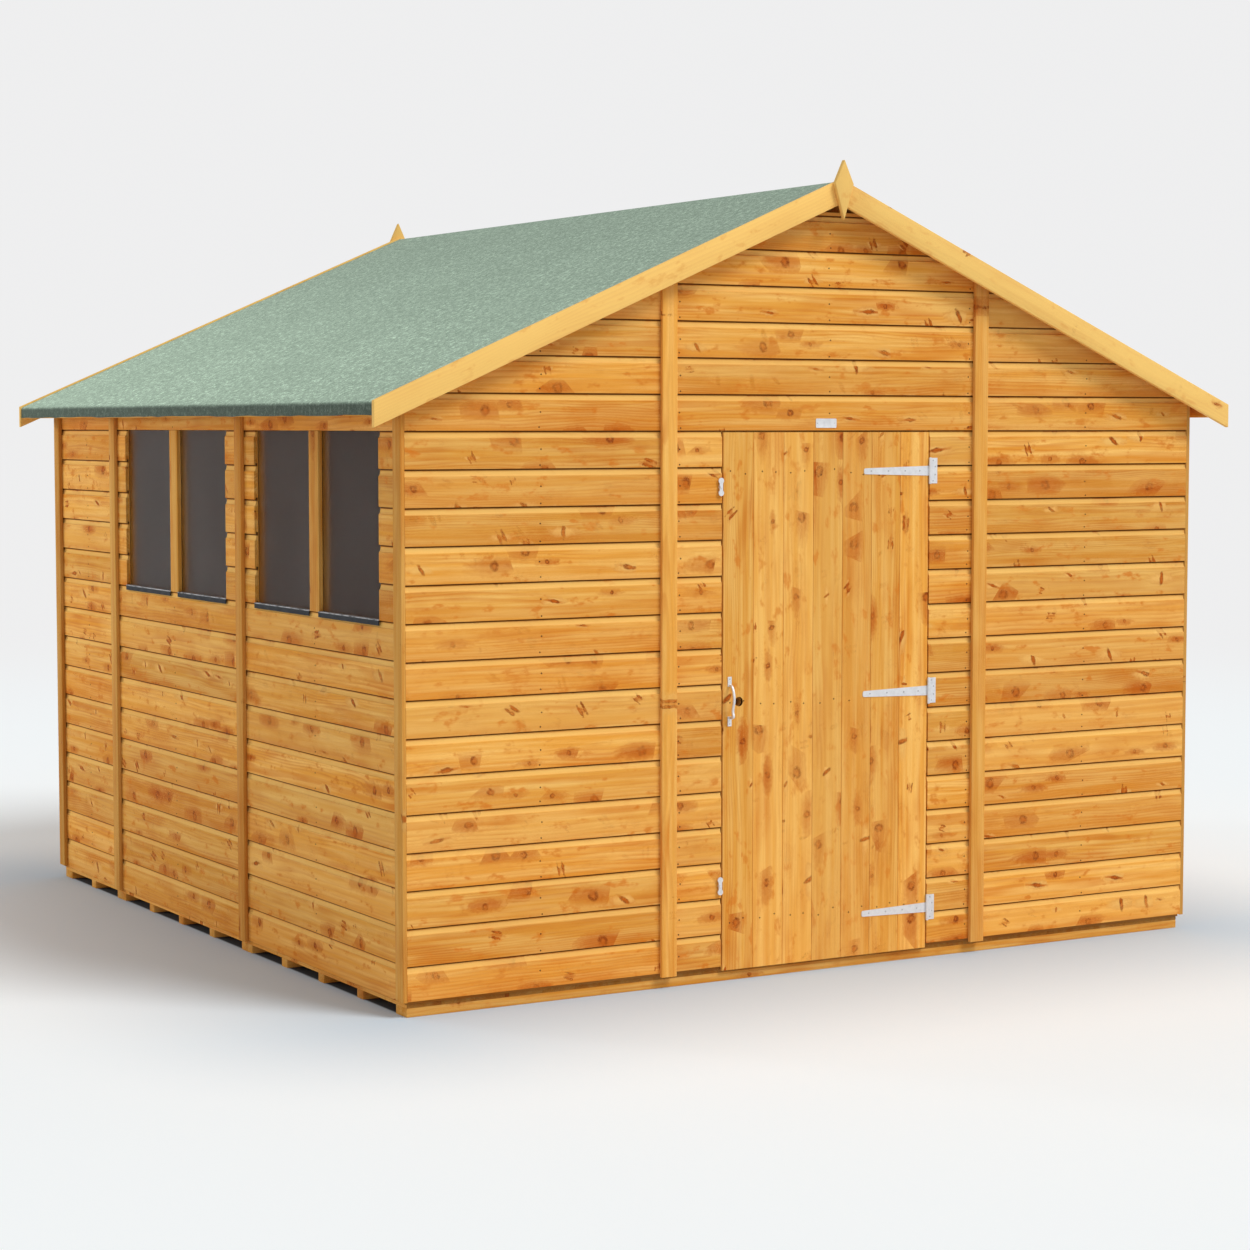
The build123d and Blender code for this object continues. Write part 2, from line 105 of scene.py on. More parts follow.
# Fittings of the door.
LOCK_PLACE = Vector((-0.336, LEAF_LOW.y, 0.88604))
LOCK_RADIUS = 0.015
LOCK_BIT = 0.1
HINGE_X = 0.398
HINGE_HEIGHTS = (0.1699, 0.8869, 1.6056)
STRAP_SCREWS = (0.040, 0.098, 0.165, 0.232)
PLATE_SCREWS = ((0.014, -0.033), (0.022, -0.013), (0.022, 0.013), (0.014, 0.033))
HANDLE_SCREWS = ((-0.371, 0.8881 - 0.0705), (-0.371, 0.8881 + 0.0705))
SCREW_PROUD = 0.0022
STRAP_SCREW, PLATE_SCREW, HANDLE_SCREW, PIN_HEAD = 0.0034, 0.0032, 0.0030, 0.0018

# Nails: places of their columns, heights on a board, and how far they stray.
GABLE_NAILS = (-1.045, 1.049, -0.555, 0.555)
RIDGE_NAILS = 0.002
WINDOW_NAILS = (-0.8815, 0.315)
END_NAILS = 1.20
NAIL_LIFTS = (0.010, 0.058)
NAIL_SHAKE = 0.004
NAIL_FOOT, NAIL_TOP, NAIL_PROUD = 0.0028, 0.0022, 0.0008
NAIL_LOW, NAIL_HIGH = 0.01, 0.02
NAIL_CLEARANCE = 0.03
LEDGE_HEIGHTS = (0.190, 0.878, 1.602)
LEDGE_SHARES = (0.25, 0.72)
LEDGE_SHAKE = 0.012
STRAP_HEIGHT, STRAP_CLEARANCE, STRAP_END = 0.8865, 0.03, 0.14

# Bare plate over the door.
PLATE_PLACE = Vector((-0.010, SIDE_LOW.y - 0.0008, 1.7597))
PLATE_SIZE = (0.079, 0.0016, 0.0295, 1.0)
PLATE_CORNER = 0.004
PLATE_RIM, PLATE_SUNK = 0.0018, -0.0004
PLATE_PINS = (-0.033, 0.033)

# Stage.
PHOTO_PIXELS = 1250
FOCAL_PIXELS = 2800.1
SENSOR_WIDTH = 36.0
SIGHT = 200.0
FLOOR_FADE = (4.5, 14.0)
UNDER_EDGE = 0.012


class ShedBoardSettings(bpy.types.PropertyGroup):
    """Sizes of the boards."""

    cover: FloatProperty(
        name="Board cover", description="Face height of one course", default=BOARD_COVER, unit="LENGTH")
    first_joint: FloatProperty(
        name="First joint", description="Height of the lowest joint",
        default=BESIDE_LOW.z - SILL_COURSES * BOARD_COVER, unit="LENGTH")
    scoop_height: FloatProperty(
        name="Scoop height", description="Height of the hollow under a joint", default=0.021,
        unit="LENGTH")
    scoop_depth: FloatProperty(
        name="Scoop depth", description="Depth of the hollow under a joint", default=0.0058,
        unit="LENGTH")
    lap: FloatProperty(
        name="Lap", description="Height of the tongue behind the next board", default=0.006,
        unit="LENGTH")
    slack: FloatProperty(
        name="Slack", description="Gap between a tongue and its groove", default=0.0015, unit="LENGTH")
    groove: FloatProperty(
        name="Groove", description="Chamfer at the edges of plain boards", default=0.0012, unit="LENGTH")
    arris: FloatProperty(name="Arris", description="Rounding of sawn edges", default=0.0016, unit="LENGTH")
    pitch: FloatProperty(
        name="Roof pitch", description="Slope of the roof", subtype="ANGLE",
        default=math.atan2(ROOF_RISE, FELT_HIGH.x))
    seed: IntProperty(name="Seed", description="Start of the board to board change", default=11)


class ShedFinishSettings(bpy.types.PropertyGroup):
    """Colours of the finishes."""

    wood_light: FloatVectorProperty(
        name="Light wood", description="Early wood", subtype="COLOR", default=(0.96, 0.585, 0.165))
    wood_mid: FloatVectorProperty(
        name="Honey wood", description="Face of the boards", subtype="COLOR",
        default=(0.80, 0.340, 0.038))
    wood_deep: FloatVectorProperty(
        name="Late wood", description="Dark lines of the grain", subtype="COLOR",
        default=(0.60, 0.155, 0.007))
    wood_pale: FloatVectorProperty(
        name="Pale wood", description="Trim of the gables", subtype="COLOR", default=(0.97, 0.64, 0.19))
    joint: FloatVectorProperty(
        name="Joint", description="Shaded lap between boards", subtype="COLOR",
        default=(0.10, 0.030, 0.003))
    stain: FloatVectorProperty(
        name="Stain", description="Resin stain round the knots", subtype="COLOR",
        default=(0.66, 0.170, 0.008))
    knot_ring: FloatVectorProperty(
        name="Knot ring", description="Rim of a knot", subtype="COLOR", default=(0.20, 0.028, 0.002))
    knot_heart: FloatVectorProperty(
        name="Knot heart", description="Inside of a knot", subtype="COLOR", default=(0.50, 0.095, 0.003))
    felt: FloatVectorProperty(
        name="Felt", description="Mineral felt", subtype="COLOR", default=(0.40, 0.52, 0.405))
    felt_dark: FloatVectorProperty(
        name="Felt grit", description="Dark grit of the felt", subtype="COLOR",
        default=(0.19, 0.26, 0.195))
    pane: FloatVectorProperty(
        name="Pane", description="Tint of the panes", subtype="COLOR", default=(0.82, 0.80, 0.78))
    drip: FloatVectorProperty(
        name="Drip", description="Painted drip strips", subtype="COLOR", default=(0.020, 0.023, 0.028))
    zinc: FloatVectorProperty(
        name="Zinc", description="Bright zinc plating", subtype="COLOR", default=(0.80, 0.81, 0.83))


class ShedStageSettings(bpy.types.PropertyGroup):
    """Camera, light and floor."""

    camera_place: FloatVectorProperty(
        name="Camera", description="Place of the camera", subtype="TRANSLATION",
        default=(-5.0654, -8.9248, 1.7511))
    camera_turn: FloatProperty(
        name="Turn", description="Turn of the camera from +Y to +X", subtype="ANGLE", default=0.5285)
    camera_dip: FloatProperty(name="Dip", description="Dip of the camera", subtype="ANGLE", default=0.071)
    focal_share: FloatProperty(
        name="Focal share", description="Focal length over image width",
        default=FOCAL_PIXELS / PHOTO_PIXELS)
    floor_radius: FloatProperty(
        name="Floor radius", description="Size of the floor", default=60.0, unit="LENGTH")
    floor: FloatVectorProperty(
        name="Floor", description="Colour of the floor", subtype="COLOR", default=(0.80, 0.82, 0.84))
    # Painted shadow on the floor round the walls.
    floor_shade_near: FloatVectorProperty(
        name="Floor near", description="Colour of the floor beside the walls", subtype="COLOR",
        default=(0.53, 0.63, 0.72))
    # Painted shade on the floor under the shed.
    floor_shade_under: FloatVectorProperty(
        name="Floor under", description="Colour of the floor under the shed", subtype="COLOR",
        default=(0.07, 0.08, 0.09))
    floor_seen: FloatVectorProperty(
        name="Floor seen", description="Colour of the floor to the camera", subtype="COLOR",
        default=(0.945, 0.985, 1.0))
    backdrop: FloatVectorProperty(
        name="Backdrop", description="Colour behind the shed", subtype="COLOR",
        default=(0.86, 0.86, 0.865))
    ambient: FloatProperty(name="Ambient", description="Strength of the room light", default=0.50)
    key: FloatProperty(name="Key", description="Strength of the key light", default=1.84)
    fill: FloatProperty(name="Fill", description="Power of the fill light on the window wall", default=720.0)
    fill_place: FloatVectorProperty(
        name="Fill place", description="Place of the fill light", subtype="TRANSLATION",
        default=(-6.0, 6.0, 2.2))
    fill_aim: FloatVectorProperty(
        name="Fill aim", description="Where the fill light points", subtype="TRANSLATION",
        default=(-1.5, 1.6, 1.2))
    fill_size: FloatProperty(
        name="Fill size", description="Radius of the fill light", default=0.8, unit="LENGTH")
    fill_cone: FloatProperty(
        name="Fill cone", description="Opening of the fill light's cone", subtype="ANGLE",
        default=math.radians(46))
    key_turn: FloatProperty(
        name="Key turn", description="Turn of the key light from -Y to +X", subtype="ANGLE",
        default=math.radians(32))
    key_lift: FloatProperty(
        name="Key lift", description="Height of the key light", subtype="ANGLE",
        default=math.radians(48))
    key_spread: FloatProperty(
        name="Key spread", description="Width of the key light", subtype="ANGLE",
        default=math.radians(24))


class Nodes:
    """Node tree of a material or world, with short calls for its nodes."""

    def __init__(self, owner):
        owner.use_nodes = True
        self.tree = owner.node_tree

    def node(self, kind, **settings):
        made = self.tree.nodes.new("ShaderNode" + kind)
        for key, value in settings.items():
            setattr(made, key, value)
        return made

    def feed(self, socket, value):
        if isinstance(value, bpy.types.NodeSocket):
            self.tree.links.new(value, socket)
        elif socket.type == "RGBA" and len(value) == 3:
            socket.default_value = (*value, 1.0)
        else:
            socket.default_value = value

    def math(self, operation, *values):
        made = self.node("Math", operation=operation)
        for socket, value in zip(made.inputs, values):
            self.feed(socket, value)
        return made.outputs[0]

    def times(self, first, second):
        return self.math("MULTIPLY", first, second)

    def vector(self, operation, *values):
        made = self.node("VectorMath", operation=operation)
        for socket, value in zip(made.inputs, values):
            self.feed(socket, value)
        return made.outputs["Value"] if operation == "LENGTH" else made.outputs[0]

    def split(self, vector):
        made = self.node("SeparateXYZ")
        self.feed(made.inputs[0], vector)
        return made.outputs[0], made.outputs[1], made.outputs[2]

    def pack(self, first, second):
        made = self.node("CombineXYZ")
        self.feed(made.inputs[0], first)
        self.feed(made.inputs[1], second)
        return made.outputs[0]

    def blend(self, factor, first, second, mode="MIX"):
        made = self.node("Mix", data_type="RGBA", blend_type=mode)
        for index, value in ((0, factor), (6, first), (7, second)):
            self.feed(made.inputs[index], value)
        return made.outputs[2]

    def over(self, colour, shade, mask, strength):
        """Lay a shade over a colour, as far as a mask and a strength let it."""
        return self.blend(self.times(mask, strength), colour, shade)

    def ease(self, value, low, high, at_low=0.0, at_high=1.0):
        made = self.node("MapRange", interpolation_type="SMOOTHSTEP")
        for socket, part in zip(made.inputs, (value, low, high, at_low, at_high)):
            self.feed(socket, part)
        return made.outputs[0]

    def noise(self, vector, scale, detail=2.0, roughness=0.5):
        made = self.node("TexNoise", noise_dimensions="3D")
        self.feed(made.inputs["Vector"], self.vector("MULTIPLY", vector, scale))
        self.feed(made.inputs["Scale"], 1.0)
        self.feed(made.inputs["Detail"], detail)
        self.feed(made.inputs["Roughness"], roughness)
        return made.outputs[0]

    def attribute(self, name, output):
        return self.node("Attribute", attribute_name=name).outputs[output]

    def place(self):
        return self.node("TexCoord").outputs["Object"]

    def seen(self):
        """One for the rays that carry the picture."""
        path = self.node("LightPath").outputs
        most = self.math("MAXIMUM", path["Is Camera Ray"], path["Is Glossy Ray"])
        return self.math("MAXIMUM", most, path["Is Transmission Ray"])

    def finish_with(self, output, factor, first, second):
        """Mix two shaders into an output node."""
        made = self.node("MixShader")
        for socket, value in zip(made.inputs, (factor, first.outputs[0], second.outputs[0])):
            self.feed(socket, value)
        self.feed(self.tree.nodes[output].inputs["Surface"], made.outputs[0])


class Recipe(Nodes):
    """Node tree of one finish."""

    def __init__(self, name):
        self.material = bpy.data.materials.new(name)
        super().__init__(self.material)
        self.shader = self.tree.nodes["Principled BSDF"]

    def set(self, name, value):
        """Feed a socket of the shader."""
        self.feed(self.shader.inputs[name], value)

    def bump(self, height, distance, strength=1.0):
        made = self.node("Bump")
        self.feed(made.inputs["Height"], height)
        self.feed(made.inputs["Distance"], distance)
        self.feed(made.inputs["Strength"], strength)
        self.set("Normal", made.outputs[0])


def tint(first, second, share):
    """Colour part of the way from one to another."""
    return [a + (b - a) * share for a, b in zip(first, second)]


def finish(name, recipe, **values):
    """The named material, made on its first use."""
    return bpy.data.materials.get(name) or recipe(name, **values)


def knots(look, place, cell, least):
    """Nearest knot: distance over its radius, distance over its flame, shown, spike and side."""
    cells = look.node("TexVoronoi", voronoi_dimensions="2D", feature="F1")
    look.feed(cells.inputs["Vector"], place)
    look.feed(cells.inputs["Scale"], 1.0 / cell)
    look.feed(cells.inputs["Randomness"], 1.0)
    chance, slant, lean = look.split(cells.outputs["Color"])
    along, across, _ = look.split(look.vector("SUBTRACT", place, cells.outputs["Position"]))
    shown = look.math("GREATER_THAN", chance, least)
    spike = look.math("GREATER_THAN", slant, 0.48)
    paired = look.math("GREATER_THAN", slant, 0.74)
    thin = look.math("SUBTRACT", look.math("MULTIPLY_ADD", spike, -0.46, 1.0), look.times(paired, 0.22))
    radius = look.times(look.ease(chance, least, 1.0, 0.0070, 0.0185), thin)
    angle = look.math("MULTIPLY_ADD", lean, 1.9, -0.2)
    stretch = look.math("ADD", look.math("MULTIPLY_ADD", spike, 1.6, 1.15), look.times(paired, 1.7))
    cosine = look.math("COSINE", angle)
    sine = look.math("SINE", angle)
    long = look.math("ADD", look.times(along, cosine), look.times(across, sine))
    short = look.math("SUBTRACT", look.times(across, cosine), look.times(along, sine))
    short = look.math("SUBTRACT", look.math("ABSOLUTE", short), look.times(paired, 0.0085))
    gap = look.vector("LENGTH", look.pack(look.math("DIVIDE", long, stretch), short))
    ragged = look.noise(place, (85, 85, 85), 2.0)
    gap = look.math("ADD", gap, look.math("MULTIPLY_ADD", ragged, 0.010, -0.005))
    flame = look.vector("LENGTH", look.pack(look.math("DIVIDE", along, 3.4), across))
    flame = look.math("ADD", flame, look.math("MULTIPLY_ADD", ragged, 0.014, -0.007))
    return (look.math("DIVIDE", gap, radius), look.math("DIVIDE", flame, radius), shown, spike, short)


def softwood(name, knotty=0.60, cell=0.115, pale=0.0, figure=0.8, lapped=False, strip=None):
    """Dipped softwood that follows the grain and board attributes of its piece.

    A strip (axis, near, far, share) is darkened where the distance from the middle lies between two values.
    """
    shades = bpy.context.scene.shed_finishes
    sizes = bpy.context.scene.shed_boards
    look = Recipe(name)
    grain = look.attribute("grain", "Vector")
    seed = look.attribute("board", "Fac")
    chance = look.node("TexWhiteNoise", noise_dimensions="1D")
    look.feed(chance.inputs["W"], look.times(seed, 977.0))
    tone, tilt, shift = look.split(chance.outputs["Color"])
    offset = look.vector("MULTIPLY", chance.outputs["Color"], (9.0, 7.0, 5.0))
    place = look.vector("ADD", grain, offset)
    _, across, depth = look.split(grain)

    ratio, flame, shown, spike, side = knots(look, place, cell, 1.0 - knotty)
    halo = look.times(look.ease(flame, 0.6, 2.4, 1.0, 0.0), shown)
    heart = look.times(look.ease(ratio, 0.55, 0.92, 1.0, 0.0), shown)
    off_rim = look.math("ABSOLUTE", look.math("SUBTRACT", ratio, 0.62))
    rim = look.times(look.ease(off_rim, 0.08, 0.50, 1.0, 0.0), shown)

    ragged_rim = look.noise(place, (60, 60, 60), 2.0)
    drift = look.noise(place, (1.6, 9.0, 9.0), 2.0)
    bowed = look.math("ADD", across, look.math("MULTIPLY_ADD", drift, 0.060, -0.030))
    bowed = look.math("ADD", bowed, look.math("MULTIPLY_ADD", tilt, 0.12, -0.06))
    pith = look.math("ADD", look.math("MULTIPLY_ADD", shift, 0.05, 0.018), depth)
    ring = look.vector("LENGTH", look.pack(bowed, pith))
    ring = look.math("ADD", ring, look.times(halo, 0.012))
    phase = look.math("FRACT", look.math("DIVIDE", ring, look.math("MULTIPLY_ADD", tone, 0.005, 0.005)))
    late = look.times(look.ease(phase, 0.20, 0.86), look.ease(phase, 0.90, 1.0, 1.0, 0.0))

    streak = look.noise(place, (1.9, 46.0, 46.0), 3.0, 0.55)
    fibre = look.noise(place, (14.0, 620.0, 620.0), 2.0)
    cloud = look.noise(place, (3.2, 13.0, 13.0), 2.0)

    shade = [tint(first, shades.wood_pale, pale * share) for first, share in
             ((shades.wood_light, 0.6), (shades.wood_mid, 1.0), (shades.wood_deep, 0.75))]
    colour = look.blend(look.ease(streak, 0.34, 0.68, 0.5 - figure / 2, 0.5 + figure / 2), shade[1], shade[0])
    colour = look.over(colour, shade[2], late, look.ease(cloud, 0.28, 0.72, 0.14 * figure, 0.70 * figure))
    colour = look.over(colour, shade[2], look.ease(cloud, 0.48, 0.72), 0.42)
    colour = look.over(colour, shade[2], look.ease(fibre, 0.35, 0.75), 0.14)
    colour = look.blend(1.0, colour, look.ease(tone, 0.0, 1.0, 0.86, 1.08), "MULTIPLY")
    colour = look.over(colour, shade[2], look.ease(tilt, 0.45, 1.0), 0.26)
    colour = look.over(colour, shade[0], look.ease(shift, 0.55, 1.0), 0.30)
    resin = look.noise(place, (15.0, 27.0, 27.0), 3.0, 0.6)
    stained = look.times(look.ease(resin, 0.57, 0.70), min(1.0, knotty * 1.1))
    colour = look.blend(stained, colour, shades.stain)
    colour = look.over(colour, shades.knot_heart, halo, look.ease(cloud, 0.3, 0.7, 0.40, 0.85))
    lit = look.times(look.times(halo, spike), look.ease(side, 0.001, 0.007))
    colour = look.over(colour, shades.wood_light, lit, 0.75)
    colour = look.over(colour, shades.knot_heart, heart, look.math("MULTIPLY_ADD", spike, 0.22, 0.64))
    colour = look.over(colour, shades.knot_ring, rim, look.ease(ragged_rim, 0.35, 0.65, 0.10, 0.80))
    if lapped:
        # Painted highlight on the scoop, a foot that is darker towards the bottom, and painted shade at both
        # edges of a course.
        rise = look.attribute("rise", "Fac")
        # Painted highlight along the scoop under each joint.
        scoop_highlight = look.times(look.ease(rise, sizes.cover - 0.0225, sizes.cover - 0.0185),
                          look.ease(rise, sizes.cover - 0.0075, sizes.cover - 0.005, 1.0, 0.0))
        colour = look.over(colour, shades.wood_light, scoop_highlight, 0.62)
        low = look.times(look.ease(rise, 0.0, 0.05, 1.0, 0.0), 0.22)
        colour = look.blend(low, colour, shade[2])
        # Painted shade of the lap: the recess below each lip and the lip's underside.
        dark = look.math("MAXIMUM", look.ease(rise, sizes.cover - 0.0046, sizes.cover - 0.0030),
                         look.ease(rise, 0.0002, 0.0013, 1.0, 0.0))
        colour = look.over(colour, shades.joint, dark, 0.95)
    if strip:
        axis, near, far, share = strip
        spot = look.math("ABSOLUTE", look.split(look.place())[axis])
        inside = look.times(look.math("GREATER_THAN", spot, near), look.math("LESS_THAN", spot, far))
        colour = look.over(colour, shades.joint, inside, share)
    look.set("Base Color", colour)
    look.set("Roughness", look.ease(late, 0.0, 1.0, 0.70, 0.58))
    look.set("Specular IOR Level", 0.09)
    height = look.math("ADD", look.times(fibre, 0.5), look.times(late, 0.35))
    height = look.math("ADD", height, look.times(heart, 0.4))
    look.bump(height, 0.0006, 0.5)
    return look.material


def mineral_felt(name):
    """Green mineral roofing felt with coarse grit, with painted shade where it hangs below the eaves and a
    painted sheen that lightens the slope towards the eaves.
    """
    shades = bpy.context.scene.shed_finishes
    pitch = bpy.context.scene.shed_boards.pitch
    eaves = FELT_HIGH.z - FELT_HIGH.x * math.tan(pitch)
    look = Recipe(name)
    place = look.place()
    _, _, height = look.split(place)
    grit = look.noise(place, (260, 260, 260), 3.0, 0.7)
    speck = look.noise(place, (62, 62, 62), 4.0, 0.8)
    wide = look.noise(place, (1.6, 1.6, 1.6), 3.0)
    colour = look.blend(look.ease(grit, 0.38, 0.62), shades.felt_dark, shades.felt)
    colour = look.over(colour, [share * 1.45 for share in shades.felt], look.ease(speck, 0.53, 0.62), 0.95)
    colour = look.over(colour, shades.felt_dark, look.ease(speck, 0.37, 0.47, 1.0, 0.0), 0.95)
    colour = look.over(colour, shades.felt_dark, look.ease(wide, 0.35, 0.7), 0.18)
    # Painted sheen: the slope is lighter towards the eaves and darker towards the ridge.
    colour = look.blend(1.0, colour, look.ease(height, eaves, FELT_HIGH.z, 1.15, 0.78), "MULTIPLY")
    # Painted shade: the felt that hangs below the eaves is darkened.
    colour = look.blend(1.0, colour, look.ease(height, eaves - 0.010, eaves + 0.006, 0.21, 1.0), "MULTIPLY")
    look.set("Base Color", colour)
    look.set("Roughness", look.ease(grit, 0.3, 0.7, 0.97, 0.86))
    look.set("Specular IOR Level", 0.2)
    look.set("Sheen Weight", 0.18)
    look.set("Sheen Roughness", 0.5)
    look.set("Sheen Tint", (0.75, 0.95, 0.80, 1.0))
    look.bump(grit, 0.0012, 0.6)
    return look.material


def clear_pane(name):
    """Grey-tinted styrene glazing."""
    look = Recipe(name)
    place = look.place()
    look.set("Base Color", bpy.context.scene.shed_finishes.pane)
    look.set("Transmission Weight", 1.0)
    look.set("IOR", 1.11)
    smear = look.noise(place, (3.0, 5.0, 2.0), 3.0)
    look.set("Roughness", look.ease(smear, 0.3, 0.75, 0.28, 0.40))
    look.bump(smear, 0.0008, 0.05)
    return look.material


def painted_drip(name):
    """Dark painted strip with a painted highlight along its upper fold, broken up by scuff noise."""
    shades = bpy.context.scene.shed_finishes
    look = Recipe(name)
    place = look.place()
    _, _, height = look.split(place)
    scuff = look.noise(place, (60, 25, 60), 4.0, 0.7)
    # Painted highlight along the upper fold of the strip.
    fold_highlight = look.times(look.ease(height, PANE_LOW.z - 0.0036, PANE_LOW.z - 0.0024),
                      look.ease(scuff, 0.25, 0.6))
    colour = look.blend(look.times(fold_highlight, 0.9), shades.drip, (0.56, 0.57, 0.58, 1))
    look.set("Base Color", colour)
    look.set("Roughness", look.ease(scuff, 0.3, 0.7, 0.50, 0.66))
    look.set("Specular IOR Level", 0.2)
    look.bump(scuff, 0.0003, 0.3)
    return look.material


def bright_zinc(name, darkening=1.0):
    """Bright zinc plate with faint brushing and spangle."""
    shades = bpy.context.scene.shed_finishes
    look = Recipe(name)
    place = look.place()
    brush = look.noise(place, (90, 700, 700), 2.0)
    bloom = look.noise(place, (70, 70, 70), 3.0, 0.6)
    bright = [share * darkening for share in shades.zinc]
    dull = [share * 0.88 * darkening for share in shades.zinc]
    look.set("Base Color", look.blend(look.ease(bloom, 0.35, 0.75), bright, dull))
    look.set("Metallic", 0.60)
    look.set("Roughness", look.ease(brush, 0.3, 0.7, 0.30, 0.46))
    look.bump(brush, 0.0002, 0.25)
    return look.material


def nail_steel(name):
    """Dark sunk nail heads with a rust tinge."""
    look = Recipe(name)
    rust = look.noise(look.place(), (500, 500, 500), 2.0)
    look.set("Base Color", look.blend(rust, (0.030, 0.012, 0.005, 1), (0.085, 0.032, 0.011, 1)))
    look.set("Roughness", look.ease(rust, 0.3, 0.7, 0.5, 0.8))
    look.set("Specular IOR Level", 0.1)
    return look.material


def shell_of(start):
    """Vertices joined to one vertex, in the order of a walk from it."""
    shell = [start]
    reached = {start}
    for vert in shell:
        for edge in vert.link_edges:
            other = edge.other_vert(vert)
            if other not in reached:
                reached.add(other)
                shell.append(other)
    return shell


def islands(bm):
    """Separate shells of a bmesh, each as its list of vertices."""
    found = []
    reached = set()
    for vert in bm.verts:
        if vert not in reached:
            found.append(shell_of(vert))
            reached.update(found[-1])
    return found


def longest_edge(shell):
    """Direction of a shell's longest arris, which is the way its grain runs."""
    best = Vector((0, 0, 0))
    for vert in shell:
        for edge in vert.link_edges:
            run = edge.verts[1].co - edge.verts[0].co
            if run.length > best.length and edge.calc_face_angle(0.0) > 0.3:
                best = run
    return best.normalized()


def paint_grain(bm, chance, along=None, outward=None):
    """Give each shell its own grain coordinates and board number."""
    grain = bm.verts.layers.float_vector.new("grain")
    board = bm.verts.layers.float.new("board")

    def rank(shell):
        return tuple(round(sum(vert.co[axis] for vert in shell) / len(shell), 4) for axis in (2, 0, 1))

    for shell in sorted(islands(bm), key=rank):
        run = along or longest_edge(shell)
        face = outward or (Z_AXIS.cross(run) if abs(run.z) < 0.9 else Y_AXIS.cross(run))
        face = face.normalized()
        rise = run.cross(face)
        centre = sum((vert.co for vert in shell), Vector()) / len(shell)
        number = chance.random()
        for vert in shell:
            place = vert.co - centre
            vert[grain] = (place.dot(run), place.dot(rise), place.dot(face))
            vert[board] = number


def stand(name, data):
    """Put a mesh, lamp or camera into the scene."""
    made = bpy.data.objects.new(name, data)
    bpy.context.scene.collection.objects.link(made)
    return made


def only(parts, kind):
    """Parts of one kind from the result of a bmesh operator."""
    return [part for part in parts if isinstance(part, kind)]


def commit(bm, name, material, body, nodes=()):
    """Make a finished piece of a bmesh, on its body and in place of CAD nodes."""
    bmesh.ops.recalc_face_normals(bm, faces=bm.faces)
    mesh = bpy.data.meshes.new(name)
    bm.to_mesh(mesh)
    bm.free()
    mesh.materials.append(material)
    mesh.shade_smooth()
    mesh.set_sharp_from_angle(angle=math.radians(SMOOTH_BELOW))
    piece = stand(name, mesh)
    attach(piece, body)
    if nodes:
        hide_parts(*nodes)
    return piece


def round_edges(bm, edges, radius, segments, clamp=False):
    """Round some edges of a bmesh."""
    bmesh.ops.bevel(bm, geom=edges, offset=radius, offset_type="OFFSET", affect="EDGES", segments=segments,
                    profile=0.5, material=-1, clamp_overlap=clamp)


def board(bm, profile, length, place, cuts=()):
    """Extrude a (depth, height) profile along x, put it in place and trim it with planes."""
    rise = bm.verts.layers.float.get("rise") or bm.verts.layers.float.new("rise")
    face = bm.faces.new([bm.verts.new((0, depth, height)) for depth, height in profile])
    for vert in face.verts:
        vert[rise] = vert.co.z
    made = bmesh.ops.extrude_face_region(bm, geom=[face])["geom"]
    moved = only(made, bmesh.types.BMVert)
    bmesh.ops.translate(bm, verts=moved, vec=(length, 0, 0))
    shell = list(face.verts) + moved
    bmesh.ops.transform(bm, matrix=place, verts=shell)
    for point, normal in cuts:
        heights = [(vert.co - point).dot(normal) for vert in shell]
        if max(heights) <= HAIR:
            continue
        if min(heights) >= -HAIR:
            bmesh.ops.delete(bm, geom=shell, context="VERTS")
            return
        faces = dict.fromkeys(f for vert in shell for f in vert.link_faces)
        edges = dict.fromkeys(e for vert in shell for e in vert.link_edges)
        cut = bmesh.ops.bisect_plane(bm, geom=[*shell, *edges, *faces], dist=HAIR, plane_co=point,
                                     plane_no=normal, clear_outer=True)
        bmesh.ops.edgeloop_fill(bm, edges=only(cut["geom_cut"], bmesh.types.BMEdge))
        shell = shell_of(only(cut["geom_cut"], bmesh.types.BMVert)[0])


def basis(along, inward, origin):
    """Matrix that lays a board's length along one axis and its depth along another."""
    return Matrix.Translation(origin) @ Matrix((along, inward, along.cross(inward))).transposed().to_4x4()


def shiplap_profile():
    """Outline of a shiplap board: lip, face, scoop, tongue and rebated back."""
    sizes = bpy.context.scene.shed_boards
    thick = LEFT_HIGH.x - LEFT_LOW.x
    top = sizes.cover
    deep = sizes.scoop_depth
    start = top - sizes.scoop_height
    lip = deep - sizes.slack / 4
    points = [(lip, 0), (LIP_CHAMFER, 0), (0, LIP_CHAMFER), (0, start)]
    for turn in SCOOP_TURNS:
        angle = math.radians(turn)
        points.append((deep * math.sin(angle), start + (sizes.scoop_height * 0.8) * (1 - math.cos(angle))))
    points += [(deep, top + sizes.lap), (thick, top + sizes.lap)]
    points += [(thick, sizes.lap + sizes.slack), (lip, sizes.lap + sizes.slack)]
    return points


def plank_profile(width, thick, groove, gap):
    """Outline of a plain board with chamfered face edges."""
    low = gap / 2
    high = width - gap / 2
    return [(groove, low), (0, low + groove), (0, high - groove), (groove, high), (thick, high), (thick, low)]


def roof_planes():
    """Undersides of the roof boards on both slopes, as cutting planes."""
    pitch = bpy.context.scene.shed_boards.pitch
    drop = (FELT_HIGH.z - DECK_HIGH.z) + ROOF_BOARD / math.cos(pitch)
    crest = Vector((0, 0, FELT_HIGH.z - drop))
    return [(crest, Vector((side * math.sin(pitch), 0, math.cos(pitch)))) for side in (-1, 1)]


